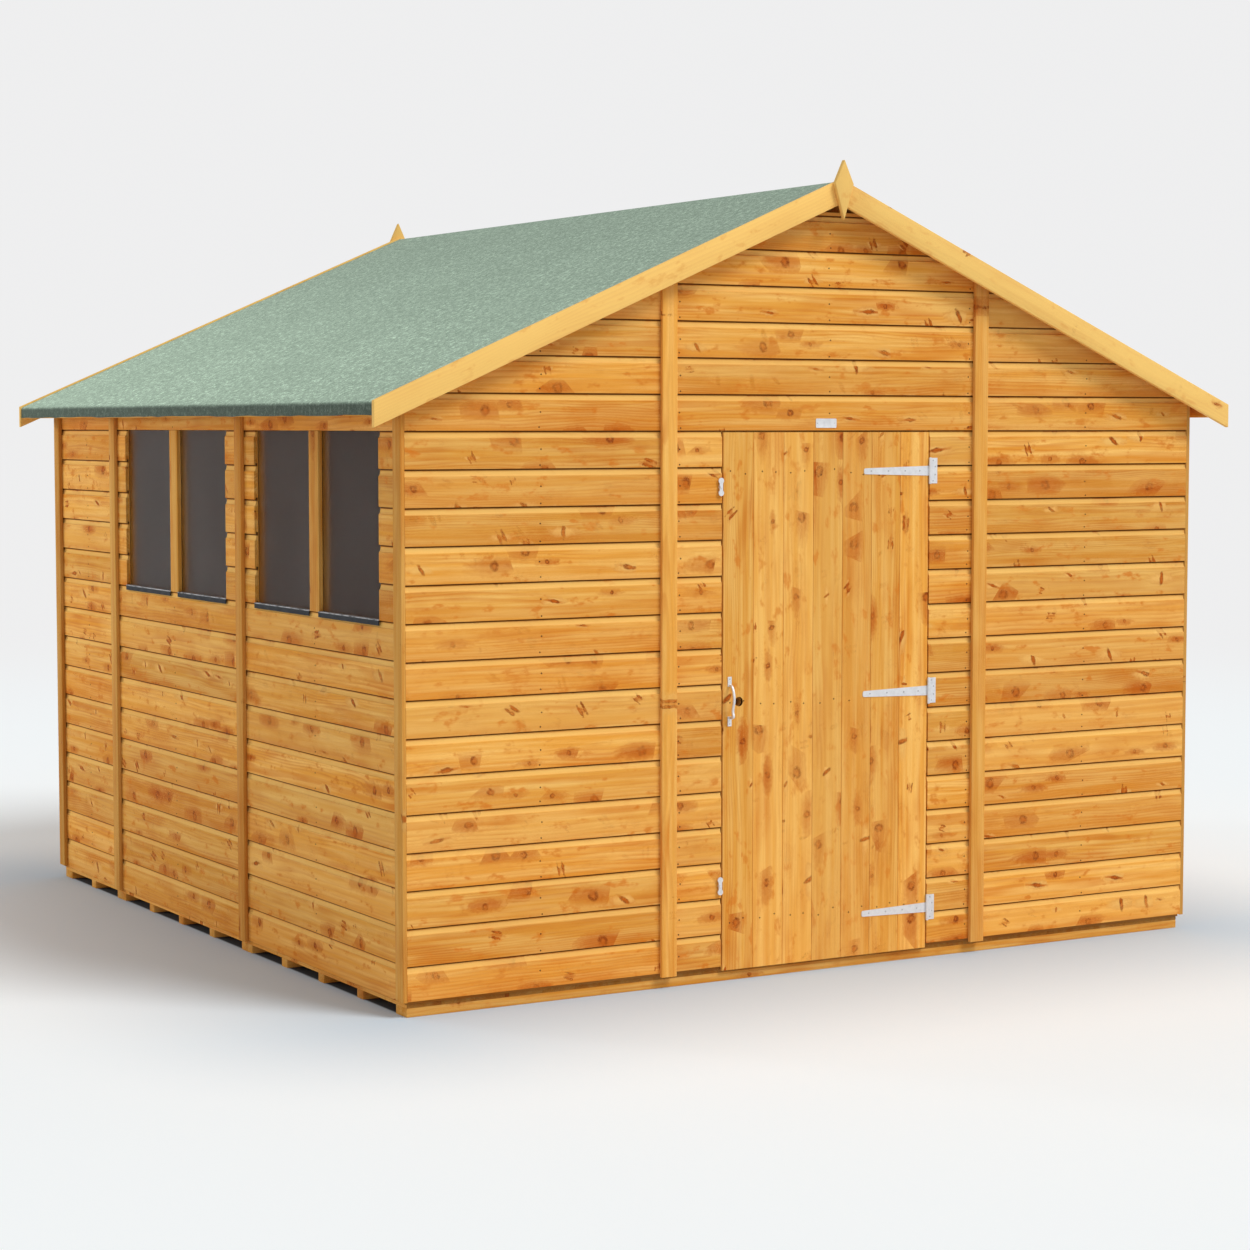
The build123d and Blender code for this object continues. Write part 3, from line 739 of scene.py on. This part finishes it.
def courses(bm, along, inward, corner, length, bottom, top, cuts=()):
    """Lay shiplap boards from bottom to top on a wall that starts at corner."""
    sizes = bpy.context.scene.shed_boards
    profile = shiplap_profile()
    planes = [*cuts, (Vector((0, 0, bottom)), -Z_AXIS), (Vector((0, 0, top)), Z_AXIS)]
    joint = sizes.first_joint - sizes.cover
    while joint < top - SLIVER:
        if joint + sizes.cover > bottom + SLIVER:
            board(bm, profile, length, basis(along, inward, Vector((corner.x, corner.y, joint))), planes)
        joint += sizes.cover


def front_panels():
    """Ends of the three gable panels."""
    return [(SIDE_LOW.x, OVER_LOW.x - PANEL_GAP), (OVER_LOW.x, OVER_HIGH.x),
            (OVER_HIGH.x + PANEL_GAP, SIDE_HIGH.x)]


def side_panels():
    """Ends of the three side wall panels."""
    half = PANEL_GAP / 2
    return [(LEFT_LOW.y, SIDE_JOINT - half), (SIDE_JOINT + half, HEAD_HIGH.y),
            (HEAD_HIGH.y + PANEL_GAP, LEFT_HIGH.y)]


def window_ends():
    """Ends of the two window openings."""
    middles = [(start + end) / 2 + WINDOW_SHIFT for start, end in side_panels()[:2]]
    return [(middle - WINDOW_WIDTH / 2, middle + WINDOW_WIDTH / 2) for middle in middles]


class SHED_OT_wall_cladding(bpy.types.Operator):
    """Lay shiplap boards on the four walls"""

    bl_idname = "shed.wall_cladding"
    bl_label = "Wall Cladding"

    def execute(self, context):
        chance = random.Random(context.scene.shed_boards.seed)
        wood = finish("dipped_shiplap", softwood, knotty=0.62, lapped=True)
        gable = roof_planes()
        foot, apex, eaves = SIDE_LOW.z, OVER_HIGH.z, HEAD_HIGH.z + EAVES_REACH

        def wall(name, along, inward, face, spans, nodes):
            """Lay the (start, end, low, high) spans of a wall whose outside is at face."""
            bm = bmesh.new()
            for start, end, low, high in spans:
                first = start if sum(along) > 0 else end
                corner = Vector((first, face, 0)) if along.x else Vector((face, first, 0))
                courses(bm, along, inward, corner, end - start, low, high, gable)
            paint_grain(bm, chance, along, -inward)
            commit(bm, name, wood, "shed", nodes)

        left, centre, right = front_panels()
        jamb_low, jamb_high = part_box("door_side_cladding")
        jamb = jamb_high.x - LEAF_HIGH.x - DOOR_GAP
        spans = [(*left, foot, apex), (*right, foot, apex), (*centre, OVER_LOW.z, apex)]
        spans += [(x, x + jamb, foot, jamb_high.z) for x in (jamb_low.x, jamb_high.x - jamb)]
        wall("front_shiplap", X_AXIS, Y_AXIS, SIDE_LOW.y, spans,
             ("front_side_cladding", "door_side_cladding", "over_door_cladding"))
        spans = [(*panel, foot, apex) for panel in (left, centre, right)]
        wall("back_shiplap", -X_AXIS, -Y_AXIS, -SIDE_LOW.y, spans, ("back_cladding",))

        panels = side_panels()
        sill, head = BESIDE_LOW.z, BESIDE_HIGH.z
        spans = []
        for panel, window in zip(panels, window_ends()):
            spans += [(*panel, LEFT_LOW.z, sill), (*panel, head, eaves)]
            spans += [(panel[0], window[0], sill, head), (window[1], panel[1], sill, head)]
        spans.append((*panels[2], LEFT_LOW.z, eaves))
        wall("left_shiplap", -Y_AXIS, X_AXIS, LEFT_LOW.x, spans,
             ("left_cladding", "window_side_cladding", "window_head_boards"))
        spans = [(*panel, LEFT_LOW.z, eaves) for panel in panels]
        wall("right_shiplap", Y_AXIS, -X_AXIS, -LEFT_LOW.x, spans, ("right_cladding",))
        return {"FINISHED"}


class SHED_OT_floor_and_deck(bpy.types.Operator):
    """Board the floor and both slopes of the roof"""

    bl_idname = "shed.floor_and_deck"
    bl_label = "Floor and Roof Boards"

    def execute(self, context):
        sizes = context.scene.shed_boards
        chance = random.Random(sizes.seed + 1)
        # Painted shade on the ends of the floor boards, where the cladding overhangs them.
        shaded_board_ends = (1, FLOOR_HIGH.y - 0.0008, FLOOR_HIGH.y + 0.01, 0.66)
        wood = finish("sawn_boards", softwood, knotty=0.24, strip=shaded_board_ends)
        bm = bmesh.new()
        thick = FLOOR_HIGH.z - FLOOR_LOW.z
        width = (FLOOR_HIGH.x - FLOOR_LOW.x) / FLOOR_BOARDS
        profile = plank_profile(width, thick, SAWN_CHAMFER, SAWN_GAP)
        ends = side_panels()
        ends[0] = (FLOOR_LOW.y, ends[0][1])
        ends[2] = (ends[2][0], FLOOR_HIGH.y)
        for start, end in ends:
            for index in range(FLOOR_BOARDS):
                origin = Vector((FLOOR_HIGH.x - index * width, start, FLOOR_HIGH.z))
                board(bm, profile, end - start, basis(Y_AXIS, -Z_AXIS, origin))
        paint_grain(bm, chance, Y_AXIS, Z_AXIS)
        commit(bm, "floor_boards", wood, "shed", ("floor_panels",))

        pitch = sizes.pitch
        crest = Vector((0, 0, DECK_HIGH.z))
        reach = -DECK_LOW.x
        width = reach / math.cos(pitch) / ROOF_BOARDS
        profile = plank_profile(width, ROOF_BOARD, SAWN_CHAMFER, SAWN_GAP)
        for side, name in ((-1, "left"), (1, "right")):
            bm = bmesh.new()
            along = -side * Y_AXIS
            inward = Vector((-side * math.sin(pitch), 0, -math.cos(pitch)))
            down = along.cross(inward)
            cuts = [(Vector((0, 0, 0)), -side * X_AXIS), (Vector((side * reach, 0, 0)), side * X_AXIS)]
            for index in range(-1, ROOF_BOARDS + 1):
                origin = crest + index * width * down + Vector((0, side * DECK_HIGH.y, 0))
                board(bm, profile, DECK_HIGH.y - DECK_LOW.y, basis(along, inward, origin), cuts)
            paint_grain(bm, chance, along, -inward)
            commit(bm, f"roof_deck_{name}", wood, "shed", (f"roof_boards_{name}",))
        return {"FINISHED"}


class SHED_OT_roof_felt(bpy.types.Operator):
    """Lay the mineral felt over the ridge and fold it over the eaves"""

    bl_idname = "shed.roof_felt"
    bl_label = "Roof Felt"

    def execute(self, context):
        chance = random.Random(context.scene.shed_boards.seed + 2)
        pitch = context.scene.shed_boards.pitch
        eaves = FELT_HIGH.z - FELT_HIGH.x * math.tan(pitch)
        path = [(-FELT_HIGH.x, FELT_LOW.z), (-FELT_HIGH.x, eaves), (0, FELT_HIGH.z)]
        path += [(FELT_HIGH.x, eaves), (FELT_HIGH.x, FELT_LOW.z)]
        bm = bmesh.new()
        verts = [bm.verts.new((x, FELT_LOW.y, z)) for x, z in path]
        edges = [bm.edges.new(pair) for pair in zip(verts, verts[1:])]
        made = bmesh.ops.extrude_edge_only(bm, edges=edges)["geom"]
        moved = only(made, bmesh.types.BMVert)
        bmesh.ops.translate(bm, verts=moved, vec=(0, FELT_HIGH.y - FELT_LOW.y, 0))
        folds = [edge for edge in bm.edges if len(edge.link_faces) == 2]
        round_edges(bm, folds, FELT_FOLD, 4)
        long = [edge for edge in bm.edges if abs((edge.verts[0].co - edge.verts[1].co).y) > 1]
        bmesh.ops.subdivide_edges(bm, edges=long, cuts=FELT_CUTS, use_grid_fill=True)
        hem = [vert for vert in bm.verts if vert.co.z < FELT_LOW.z + FELT_EDGE]
        for vert in sorted(hem, key=lambda vert: (round(vert.co.x, 5), round(vert.co.y, 5))):
            vert.co.z += FELT_WAVE * chance.random()
        bmesh.ops.recalc_face_normals(bm, faces=bm.faces)
        if sum(face.normal.z for face in bm.faces) < 0:
            bmesh.ops.reverse_faces(bm, faces=bm.faces)
        bmesh.ops.solidify(bm, geom=bm.faces, thickness=FELT_THICK)
        commit(bm, "mineral_felt", finish("green_mineral_felt", mineral_felt), "shed",
               ("roof_felt",))
        return {"FINISHED"}


def timber(name, nodes, body, material, chance, along=None):
    """Ease the edges of sawn timbers and give each its own grain."""
    bm = bmesh.new()
    for node in nodes:
        before = set(bm.verts)
        bm.from_mesh(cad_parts[node].data)
        fresh = [vert for vert in bm.verts if vert not in before]
        bmesh.ops.remove_doubles(bm, verts=fresh, dist=WELD)
    bmesh.ops.dissolve_limit(bm, angle_limit=math.radians(FLAT_BELOW), verts=bm.verts, edges=bm.edges)
    round_edges(bm, bm.edges[:], bpy.context.scene.shed_boards.arris, 2, clamp=True)
    paint_grain(bm, chance, along)
    return commit(bm, name, material, body, nodes)


class SHED_OT_framing(bpy.types.Operator):
    """Dress the studs, rails, bearers and roof timbers"""

    bl_idname = "shed.framing"
    bl_label = "Framing"

    def execute(self, context):
        chance = random.Random(context.scene.shed_boards.seed + 3)
        # Painted shade in the recess between the floor and the foot of the cladding: a dark band at the foot
        # of the studs and rails.
        recess_shade = (2, FLOOR_HIGH.z - 0.0005, SIDE_LOW.z + 0.002, 0.72)
        wood = finish("sawn_framing", softwood, knotty=0.22, strip=recess_shade)
        for wall in ("front", "back", "left", "right"):
            timber(f"{wall}_framing", (f"{wall}_studs", f"{wall}_rails"), "shed", wood, chance)
        # The bearers are darkened all over.
        bearer_darkening = (2, -1.0, FLOOR_LOW.z + 0.001, 0.20)
        low_wood = finish("soiled_bearers", softwood, knotty=0.22, strip=bearer_darkening)
        timber("bearers", ("floor_bearers",), "shed", low_wood, chance)
        timber("roof_timbers", ("roof_purlins", "eaves_rails"), "shed", wood, chance)
        timber("trusses", ("truss_rafters_left", "truss_rafters_right", "truss_ties"), "shed",
               wood, chance)
        return {"FINISHED"}


class SHED_OT_trim(bpy.types.Operator):
    """Dress the battens, corner strips, mullions, bargeboards and finials"""

    bl_idname = "shed.trim"
    bl_label = "Trim"

    def execute(self, context):
        chance = random.Random(context.scene.shed_boards.seed + 4)
        # Painted shade on the trims at the side walls, as dark as the shaded wall beside them.
        side_shade = (0, SIDE_HIGH.x - 0.03, SIDE_HIGH.x + 0.5, 0.24)
        wood = finish("planed_trim", softwood, knotty=0.08, cell=0.12, figure=0.6, strip=side_shade)
        for name, node in (("joint_battens", "cover_battens"), ("wall_corner_strips", "corner_strips"),
                           ("window_posts", "window_mullions")):
            timber(name, (node,), "shed", wood, chance, Z_AXIS)
        pale = finish("planed_bargeboard", softwood, knotty=0.24, cell=0.17, pale=0.9, figure=0.7)
        timber("bargeboards", ("left_bargeboards", "right_bargeboards"), "shed", pale, chance)
        timber("gable_finials", ("finials",), "shed", pale, chance, Z_AXIS)
        return {"FINISHED"}


class SHED_OT_door(bpy.types.Operator):
    """Board the door leaf and dress its ledges and braces"""

    bl_idname = "shed.door"
    bl_label = "Door"

    def execute(self, context):
        sizes = context.scene.shed_boards
        chance = random.Random(sizes.seed + 5)
        wood = finish("door_boards", softwood, knotty=0.50, cell=0.118, figure=0.62)
        width = (LEAF_HIGH.x - LEAF_LOW.x) / DOOR_BOARDS
        profile = plank_profile(width, LEAF_HIGH.y - LEAF_LOW.y, sizes.groove, DOOR_BOARD_GAP)
        bm = bmesh.new()
        for index in range(DOOR_BOARDS):
            origin = Vector((LEAF_LOW.x + (index + 1) * width, LEAF_LOW.y, LEAF_LOW.z))
            board(bm, profile, LEAF_HIGH.z - LEAF_LOW.z, basis(Z_AXIS, Y_AXIS, origin))
        bmesh.ops.recalc_face_normals(bm, faces=bm.faces)
        self.bore(context, bm)
        paint_grain(bm, chance, Z_AXIS, -Y_AXIS)
        # Painted shade: the walls of the lock hole get the dark nail finish.
        for face in bm.faces:
            middle = face.calc_center_median() - LOCK_PLACE
            if abs(face.normal.y) < 0.5 and math.hypot(middle.x, middle.z) < LOCK_RADIUS:
                face.material_index = 1
        leaf = commit(bm, "door_planks", wood, "door", ("door_leaf",))
        leaf.data.materials.append(finish("dark_bore", nail_steel))
        frame_wood = finish("sawn_ledges", softwood, knotty=0.22)
        timber("door_battens", ("door_ledges", "door_braces"), "door", frame_wood, chance)
        return {"FINISHED"}

    def bore(self, context, bm):
        """Bore the lock hole through the leaf."""
        mesh = bpy.data.meshes.new("leaf_blank")
        bm.to_mesh(mesh)
        blank = stand("leaf_blank", mesh)
        bit_mesh = bpy.data.meshes.new("lock_bit")
        bit_bm = bmesh.new()
        turn = Matrix.Translation(LOCK_PLACE) @ Matrix.Rotation(math.radians(90), 4, "X")
        bmesh.ops.create_cone(bit_bm, cap_ends=True, segments=40, radius1=LOCK_RADIUS, radius2=LOCK_RADIUS,
                              depth=LOCK_BIT, matrix=turn)
        bit_bm.to_mesh(bit_mesh)
        bit_bm.free()
        bit = stand("lock_bit", bit_mesh)
        cut = blank.modifiers.new("lock_hole", "BOOLEAN")
        cut.operation = "DIFFERENCE"
        cut.solver = "EXACT"
        cut.object = bit
        graph = context.evaluated_depsgraph_get()
        bored = bpy.data.meshes.new_from_object(blank.evaluated_get(graph))
        bm.clear()
        bm.from_mesh(bored)
        for thing in (blank, bit):
            bpy.data.objects.remove(thing)
        for left_over in (mesh, bit_mesh, bored):
            bpy.data.meshes.remove(left_over)


def coat(node, material):
    """Give a CAD node its finish."""
    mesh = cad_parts[node].data
    mesh.materials.clear()
    mesh.materials.append(material)


class SHED_OT_glazing(bpy.types.Operator):
    """Give the panes and drip strips their finishes"""

    bl_idname = "shed.glazing"
    bl_label = "Glazing"

    def execute(self, context):
        for node, name, recipe in (("window_panes", "styrene_pane", clear_pane),
                                   ("window_drips", "painted_drip", painted_drip)):
            coat(node, finish(name, recipe))
        return {"FINISHED"}


def facing(place, outward):
    """Matrix that stands a round head on a face."""
    return Matrix.Translation(place) @ outward.to_track_quat("Z", "Y").to_matrix().to_4x4()


def screw_head(bm, place, outward, radius):
    """Round screw head with a recess."""
    made = bmesh.ops.create_cone(bm, cap_ends=True, segments=10, radius1=radius, radius2=radius * 0.62,
                                 depth=radius * 0.5, matrix=facing(place, outward))
    tops = dict.fromkeys(face for vert in made["verts"] for face in vert.link_faces
                         if face.calc_center_median().dot(outward) > place.dot(outward) + radius * 0.24)
    bmesh.ops.inset_individual(bm, faces=list(tops), thickness=radius * 0.3)
    sunk = dict.fromkeys(vert for face in tops for vert in face.verts)
    bmesh.ops.translate(bm, verts=list(sunk), vec=outward * (-radius * 0.22))


class SHED_OT_ironmongery(bpy.types.Operator):
    """Finish the hinges, handle and turn buttons and add their screws"""

    bl_idname = "shed.ironmongery"
    bl_label = "Ironmongery"

    def execute(self, context):
        zinc = finish("bright_zinc", bright_zinc)
        for node in ("hinge_straps", "hinge_plates", "hinge_pins", "door_handle", "upper_turn_button",
                     "lower_turn_button", "turn_button_screws"):
            coat(node, zinc)
        screw = finish("screw_zinc", bright_zinc, darkening=0.62)
        front = LEAF_LOW.y - SCREW_PROUD
        on_door = bmesh.new()
        on_shed = bmesh.new()
        for height in HINGE_HEIGHTS:
            for reach in STRAP_SCREWS:
                screw_head(on_door, Vector((HINGE_X - reach, front, height)), -Y_AXIS, STRAP_SCREW)
            for shift, lift in PLATE_SCREWS:
                screw_head(on_shed, Vector((HINGE_X + shift, front, height + lift)), -Y_AXIS, PLATE_SCREW)
        for x, height in HANDLE_SCREWS:
            screw_head(on_door, Vector((x, front, height)), -Y_AXIS, HANDLE_SCREW)
        commit(on_door, "door_screws", screw, "door")
        commit(on_shed, "hinge_plate_screws", screw, "shed")
        return {"FINISHED"}


def nail(bm, place, outward):
    """Flat nail head on a board."""
    bmesh.ops.create_cone(bm, cap_ends=True, segments=8, radius1=NAIL_FOOT, radius2=NAIL_TOP,
                          depth=NAIL_PROUD, matrix=facing(place, outward))


class SHED_OT_nails(bpy.types.Operator):
    """Drive the nails of the boards into their studs"""

    bl_idname = "shed.nails"
    bl_label = "Nails"

    def execute(self, context):
        sizes = context.scene.shed_boards
        chance = random.Random(sizes.seed + 6)
        steel = finish("nail_steel", nail_steel)
        bm = bmesh.new()
        bottom = SIDE_LOW.z

        def shake():
            return chance.uniform(-NAIL_SHAKE, NAIL_SHAKE)

        def column(point, outward, low, high):
            joint = sizes.first_joint - sizes.cover
            while joint < high:
                for lift in NAIL_LIFTS:
                    z = joint + lift + shake()
                    if low + NAIL_LOW < z < high - NAIL_HIGH:
                        slip = outward.cross(Z_AXIS) * shake()
                        nail(bm, Vector((point.x, point.y, z)) + slip, outward)
                joint += sizes.cover

        for side in (-1, 1):
            for x in GABLE_NAILS:
                top = FELT_HIGH.z - abs(x) * math.tan(sizes.pitch) - NAIL_CLEARANCE
                column(Vector((x, side * -SIDE_LOW.y, 0)), side * Y_AXIS, bottom, top)
            low = OVER_LOW.z if side < 0 else bottom
            column(Vector((RIDGE_NAILS, side * -SIDE_LOW.y, 0)), side * Y_AXIS, low, OVER_HIGH.z)
        wall_top = HEAD_HIGH.z - NAIL_CLEARANCE
        for middle in WINDOW_NAILS:
            column(Vector((LEFT_LOW.x, middle, 0)), -X_AXIS, bottom, BESIDE_LOW.z)
            column(Vector((LEFT_LOW.x, middle, 0)), -X_AXIS, BESIDE_HIGH.z, wall_top)
            column(Vector((-LEFT_LOW.x, middle, 0)), X_AXIS, bottom, wall_top)
        for side in (-1, 1):
            column(Vector((side * -LEFT_LOW.x, END_NAILS, 0)), side * X_AXIS, bottom, wall_top)
        commit(bm, "wall_nails", steel, "shed")

        bm = bmesh.new()
        width = (LEAF_HIGH.x - LEAF_LOW.x) / DOOR_BOARDS
        for height in LEDGE_HEIGHTS:
            for index in range(DOOR_BOARDS):
                for share in LEDGE_SHARES:
                    place = Vector((LEAF_LOW.x + (index + share) * width + shake(), LEAF_LOW.y,
                                    height + chance.uniform(-LEDGE_SHAKE, LEDGE_SHAKE)))
                    if abs(place.z - STRAP_HEIGHT) > STRAP_CLEARANCE or place.x < STRAP_END:
                        nail(bm, place, -Y_AXIS)
        commit(bm, "door_nails", steel, "door")
        return {"FINISHED"}


class SHED_OT_blank_plate(bpy.types.Operator):
    """Pin a bare metal plate over the door"""

    bl_idname = "shed.blank_plate"
    bl_label = "Blank Plate"

    def execute(self, context):
        bm = bmesh.new()
        shape = Matrix.Translation(PLATE_PLACE) @ Matrix.Diagonal(PLATE_SIZE)
        bmesh.ops.create_cube(bm, size=1.0, matrix=shape)
        corners = [edge for edge in bm.edges if abs((edge.verts[0].co - edge.verts[1].co).y) > 0.001]
        round_edges(bm, corners, PLATE_CORNER, 4)
        front = [face for face in bm.faces if face.normal.y < -0.9]
        bmesh.ops.inset_region(bm, faces=front, thickness=PLATE_RIM, depth=PLATE_SUNK)
        commit(bm, "blank_plate", finish("bright_zinc", bright_zinc), "shed")
        pins = bmesh.new()
        for x in PLATE_PINS:
            screw_head(pins, PLATE_PLACE + Vector((x, -PLATE_SIZE[1] / 2, 0)), -Y_AXIS, PIN_HEAD)
        commit(pins, "blank_plate_pins", finish("screw_zinc", bright_zinc, darkening=0.62), "shed")
        return {"FINISHED"}


class SHED_OT_stage(bpy.types.Operator):
    """Set up the floor, light and camera"""

    bl_idname = "shed.stage"
    bl_label = "Stage"

    def execute(self, context):
        stage = context.scene.shed_stage
        bm = bmesh.new()
        bmesh.ops.create_circle(bm, cap_ends=True, segments=96, radius=stage.floor_radius)
        mesh = bpy.data.meshes.new("studio_floor")
        bm.to_mesh(mesh)
        bm.free()
        look = Recipe("studio_floor")
        camera_ray = look.node("LightPath").outputs["Is Camera Ray"]
        footprint = (FLOOR_HIGH.x - UNDER_EDGE, FLOOR_HIGH.y - UNDER_EDGE, 1.0)
        beyond = look.vector("SUBTRACT", look.vector("ABSOLUTE", look.place()), footprint)
        reach = look.vector("LENGTH", look.vector("MAXIMUM", beyond, (0.0, 0.0, 0.0)))
        # Painted shadow: the floor seen by the camera darkens towards the walls.
        colour = look.blend(look.ease(reach, -0.3, 1.2), stage.floor_shade_near, stage.floor_seen)
        # Painted shade: the floor under the shed is dark to the camera.
        colour = look.blend(look.ease(reach, 0.0, UNDER_EDGE), stage.floor_shade_under, colour)
        shade = look.node("BsdfDiffuse")
        look.feed(shade.inputs["Color"], look.blend(camera_ray, stage.floor, colour))
        glow = look.node("Emission")
        look.feed(glow.inputs["Color"], stage.backdrop)
        far = look.ease(look.vector("LENGTH", look.place()), *FLOOR_FADE)
        look.finish_with("Material Output", look.times(far, look.seen()), shade, glow)
        look.tree.nodes.remove(look.shader)
        mesh.materials.append(look.material)
        floor = stand("studio_floor", mesh)

        world = bpy.data.worlds.new("studio")
        context.scene.world = world
        sky = Nodes(world)
        room = sky.tree.nodes["Background"]
        sky.feed(room.inputs["Color"], (1.0, 1.0, 1.0))
        sky.feed(room.inputs["Strength"], stage.ambient)
        plain = sky.node("Background")
        sky.feed(plain.inputs["Color"], stage.backdrop)
        sky.finish_with("World Output", sky.seen(), room, plain)

        lamp = bpy.data.lights.new("key", "SUN")
        lamp.energy = stage.key
        lamp.angle = stage.key_spread
        key = stand("key", lamp)
        key.rotation_euler = (math.pi / 2 - stage.key_lift, 0, stage.key_turn)

        lamp = bpy.data.lights.new("fill", "SPOT")
        lamp.energy = stage.fill
        lamp.shadow_soft_size = stage.fill_size
        lamp.spot_size = stage.fill_cone
        lamp.spot_blend = 1.0
        fill = stand("fill", lamp)
        fill.location = stage.fill_place
        aim = Vector(stage.fill_aim) - Vector(stage.fill_place)
        fill.rotation_euler = aim.to_track_quat("-Z", "Y").to_euler()
        for ray in ("camera", "glossy", "transmission"):
            setattr(fill, f"visible_{ray}", False)

        lens = bpy.data.cameras.new("camera")
        lens.sensor_width = SENSOR_WIDTH
        lens.lens = SENSOR_WIDTH * stage.focal_share
        lens.clip_end = SIGHT
        camera = stand("camera", lens)
        camera.location = stage.camera_place
        camera.rotation_euler = (math.pi / 2 - stage.camera_dip, 0, -stage.camera_turn)
        context.scene.camera = camera
        context.scene.view_settings.view_transform = "Standard"
        return {"FINISHED"}


class SHED_PT_panel(bpy.types.Panel):
    """Steps that dress the shed"""

    bl_idname = "SHED_PT_panel"
    bl_label = "Apex Garden Shed"
    bl_space_type = "VIEW_3D"
    bl_region_type = "UI"
    bl_category = "Shed"

    def draw(self, context):
        for operator in OPERATORS:
            self.layout.operator(operator.bl_idname)


OPERATORS = (SHED_OT_wall_cladding, SHED_OT_floor_and_deck, SHED_OT_roof_felt, SHED_OT_framing, SHED_OT_trim,
             SHED_OT_door, SHED_OT_glazing, SHED_OT_ironmongery, SHED_OT_nails, SHED_OT_blank_plate,
             SHED_OT_stage)
SETTINGS = (ShedBoardSettings, ShedFinishSettings, ShedStageSettings)


def register():
    """Register the classes and hang the settings on the scene."""
    for kind in SETTINGS + OPERATORS + (SHED_PT_panel,):
        bpy.utils.register_class(kind)
    bpy.types.Scene.shed_boards = PointerProperty(type=ShedBoardSettings)
    bpy.types.Scene.shed_finishes = PointerProperty(type=ShedFinishSettings)
    bpy.types.Scene.shed_stage = PointerProperty(type=ShedStageSettings)


def unregister():
    """Take the settings and classes away again."""
    del bpy.types.Scene.shed_stage
    del bpy.types.Scene.shed_finishes
    del bpy.types.Scene.shed_boards
    for kind in reversed(SETTINGS + OPERATORS + (SHED_PT_panel,)):
        bpy.utils.unregister_class(kind)


def main():
    """Dress the shed."""
    register()
    bpy.ops.shed.wall_cladding()
    bpy.ops.shed.floor_and_deck()
    bpy.ops.shed.roof_felt()
    bpy.ops.shed.framing()
    bpy.ops.shed.trim()
    bpy.ops.shed.door()
    bpy.ops.shed.glazing()
    bpy.ops.shed.ironmongery()
    bpy.ops.shed.nails()
    bpy.ops.shed.blank_plate()
    bpy.ops.shed.stage()


if __name__ == "__main__":
    main()
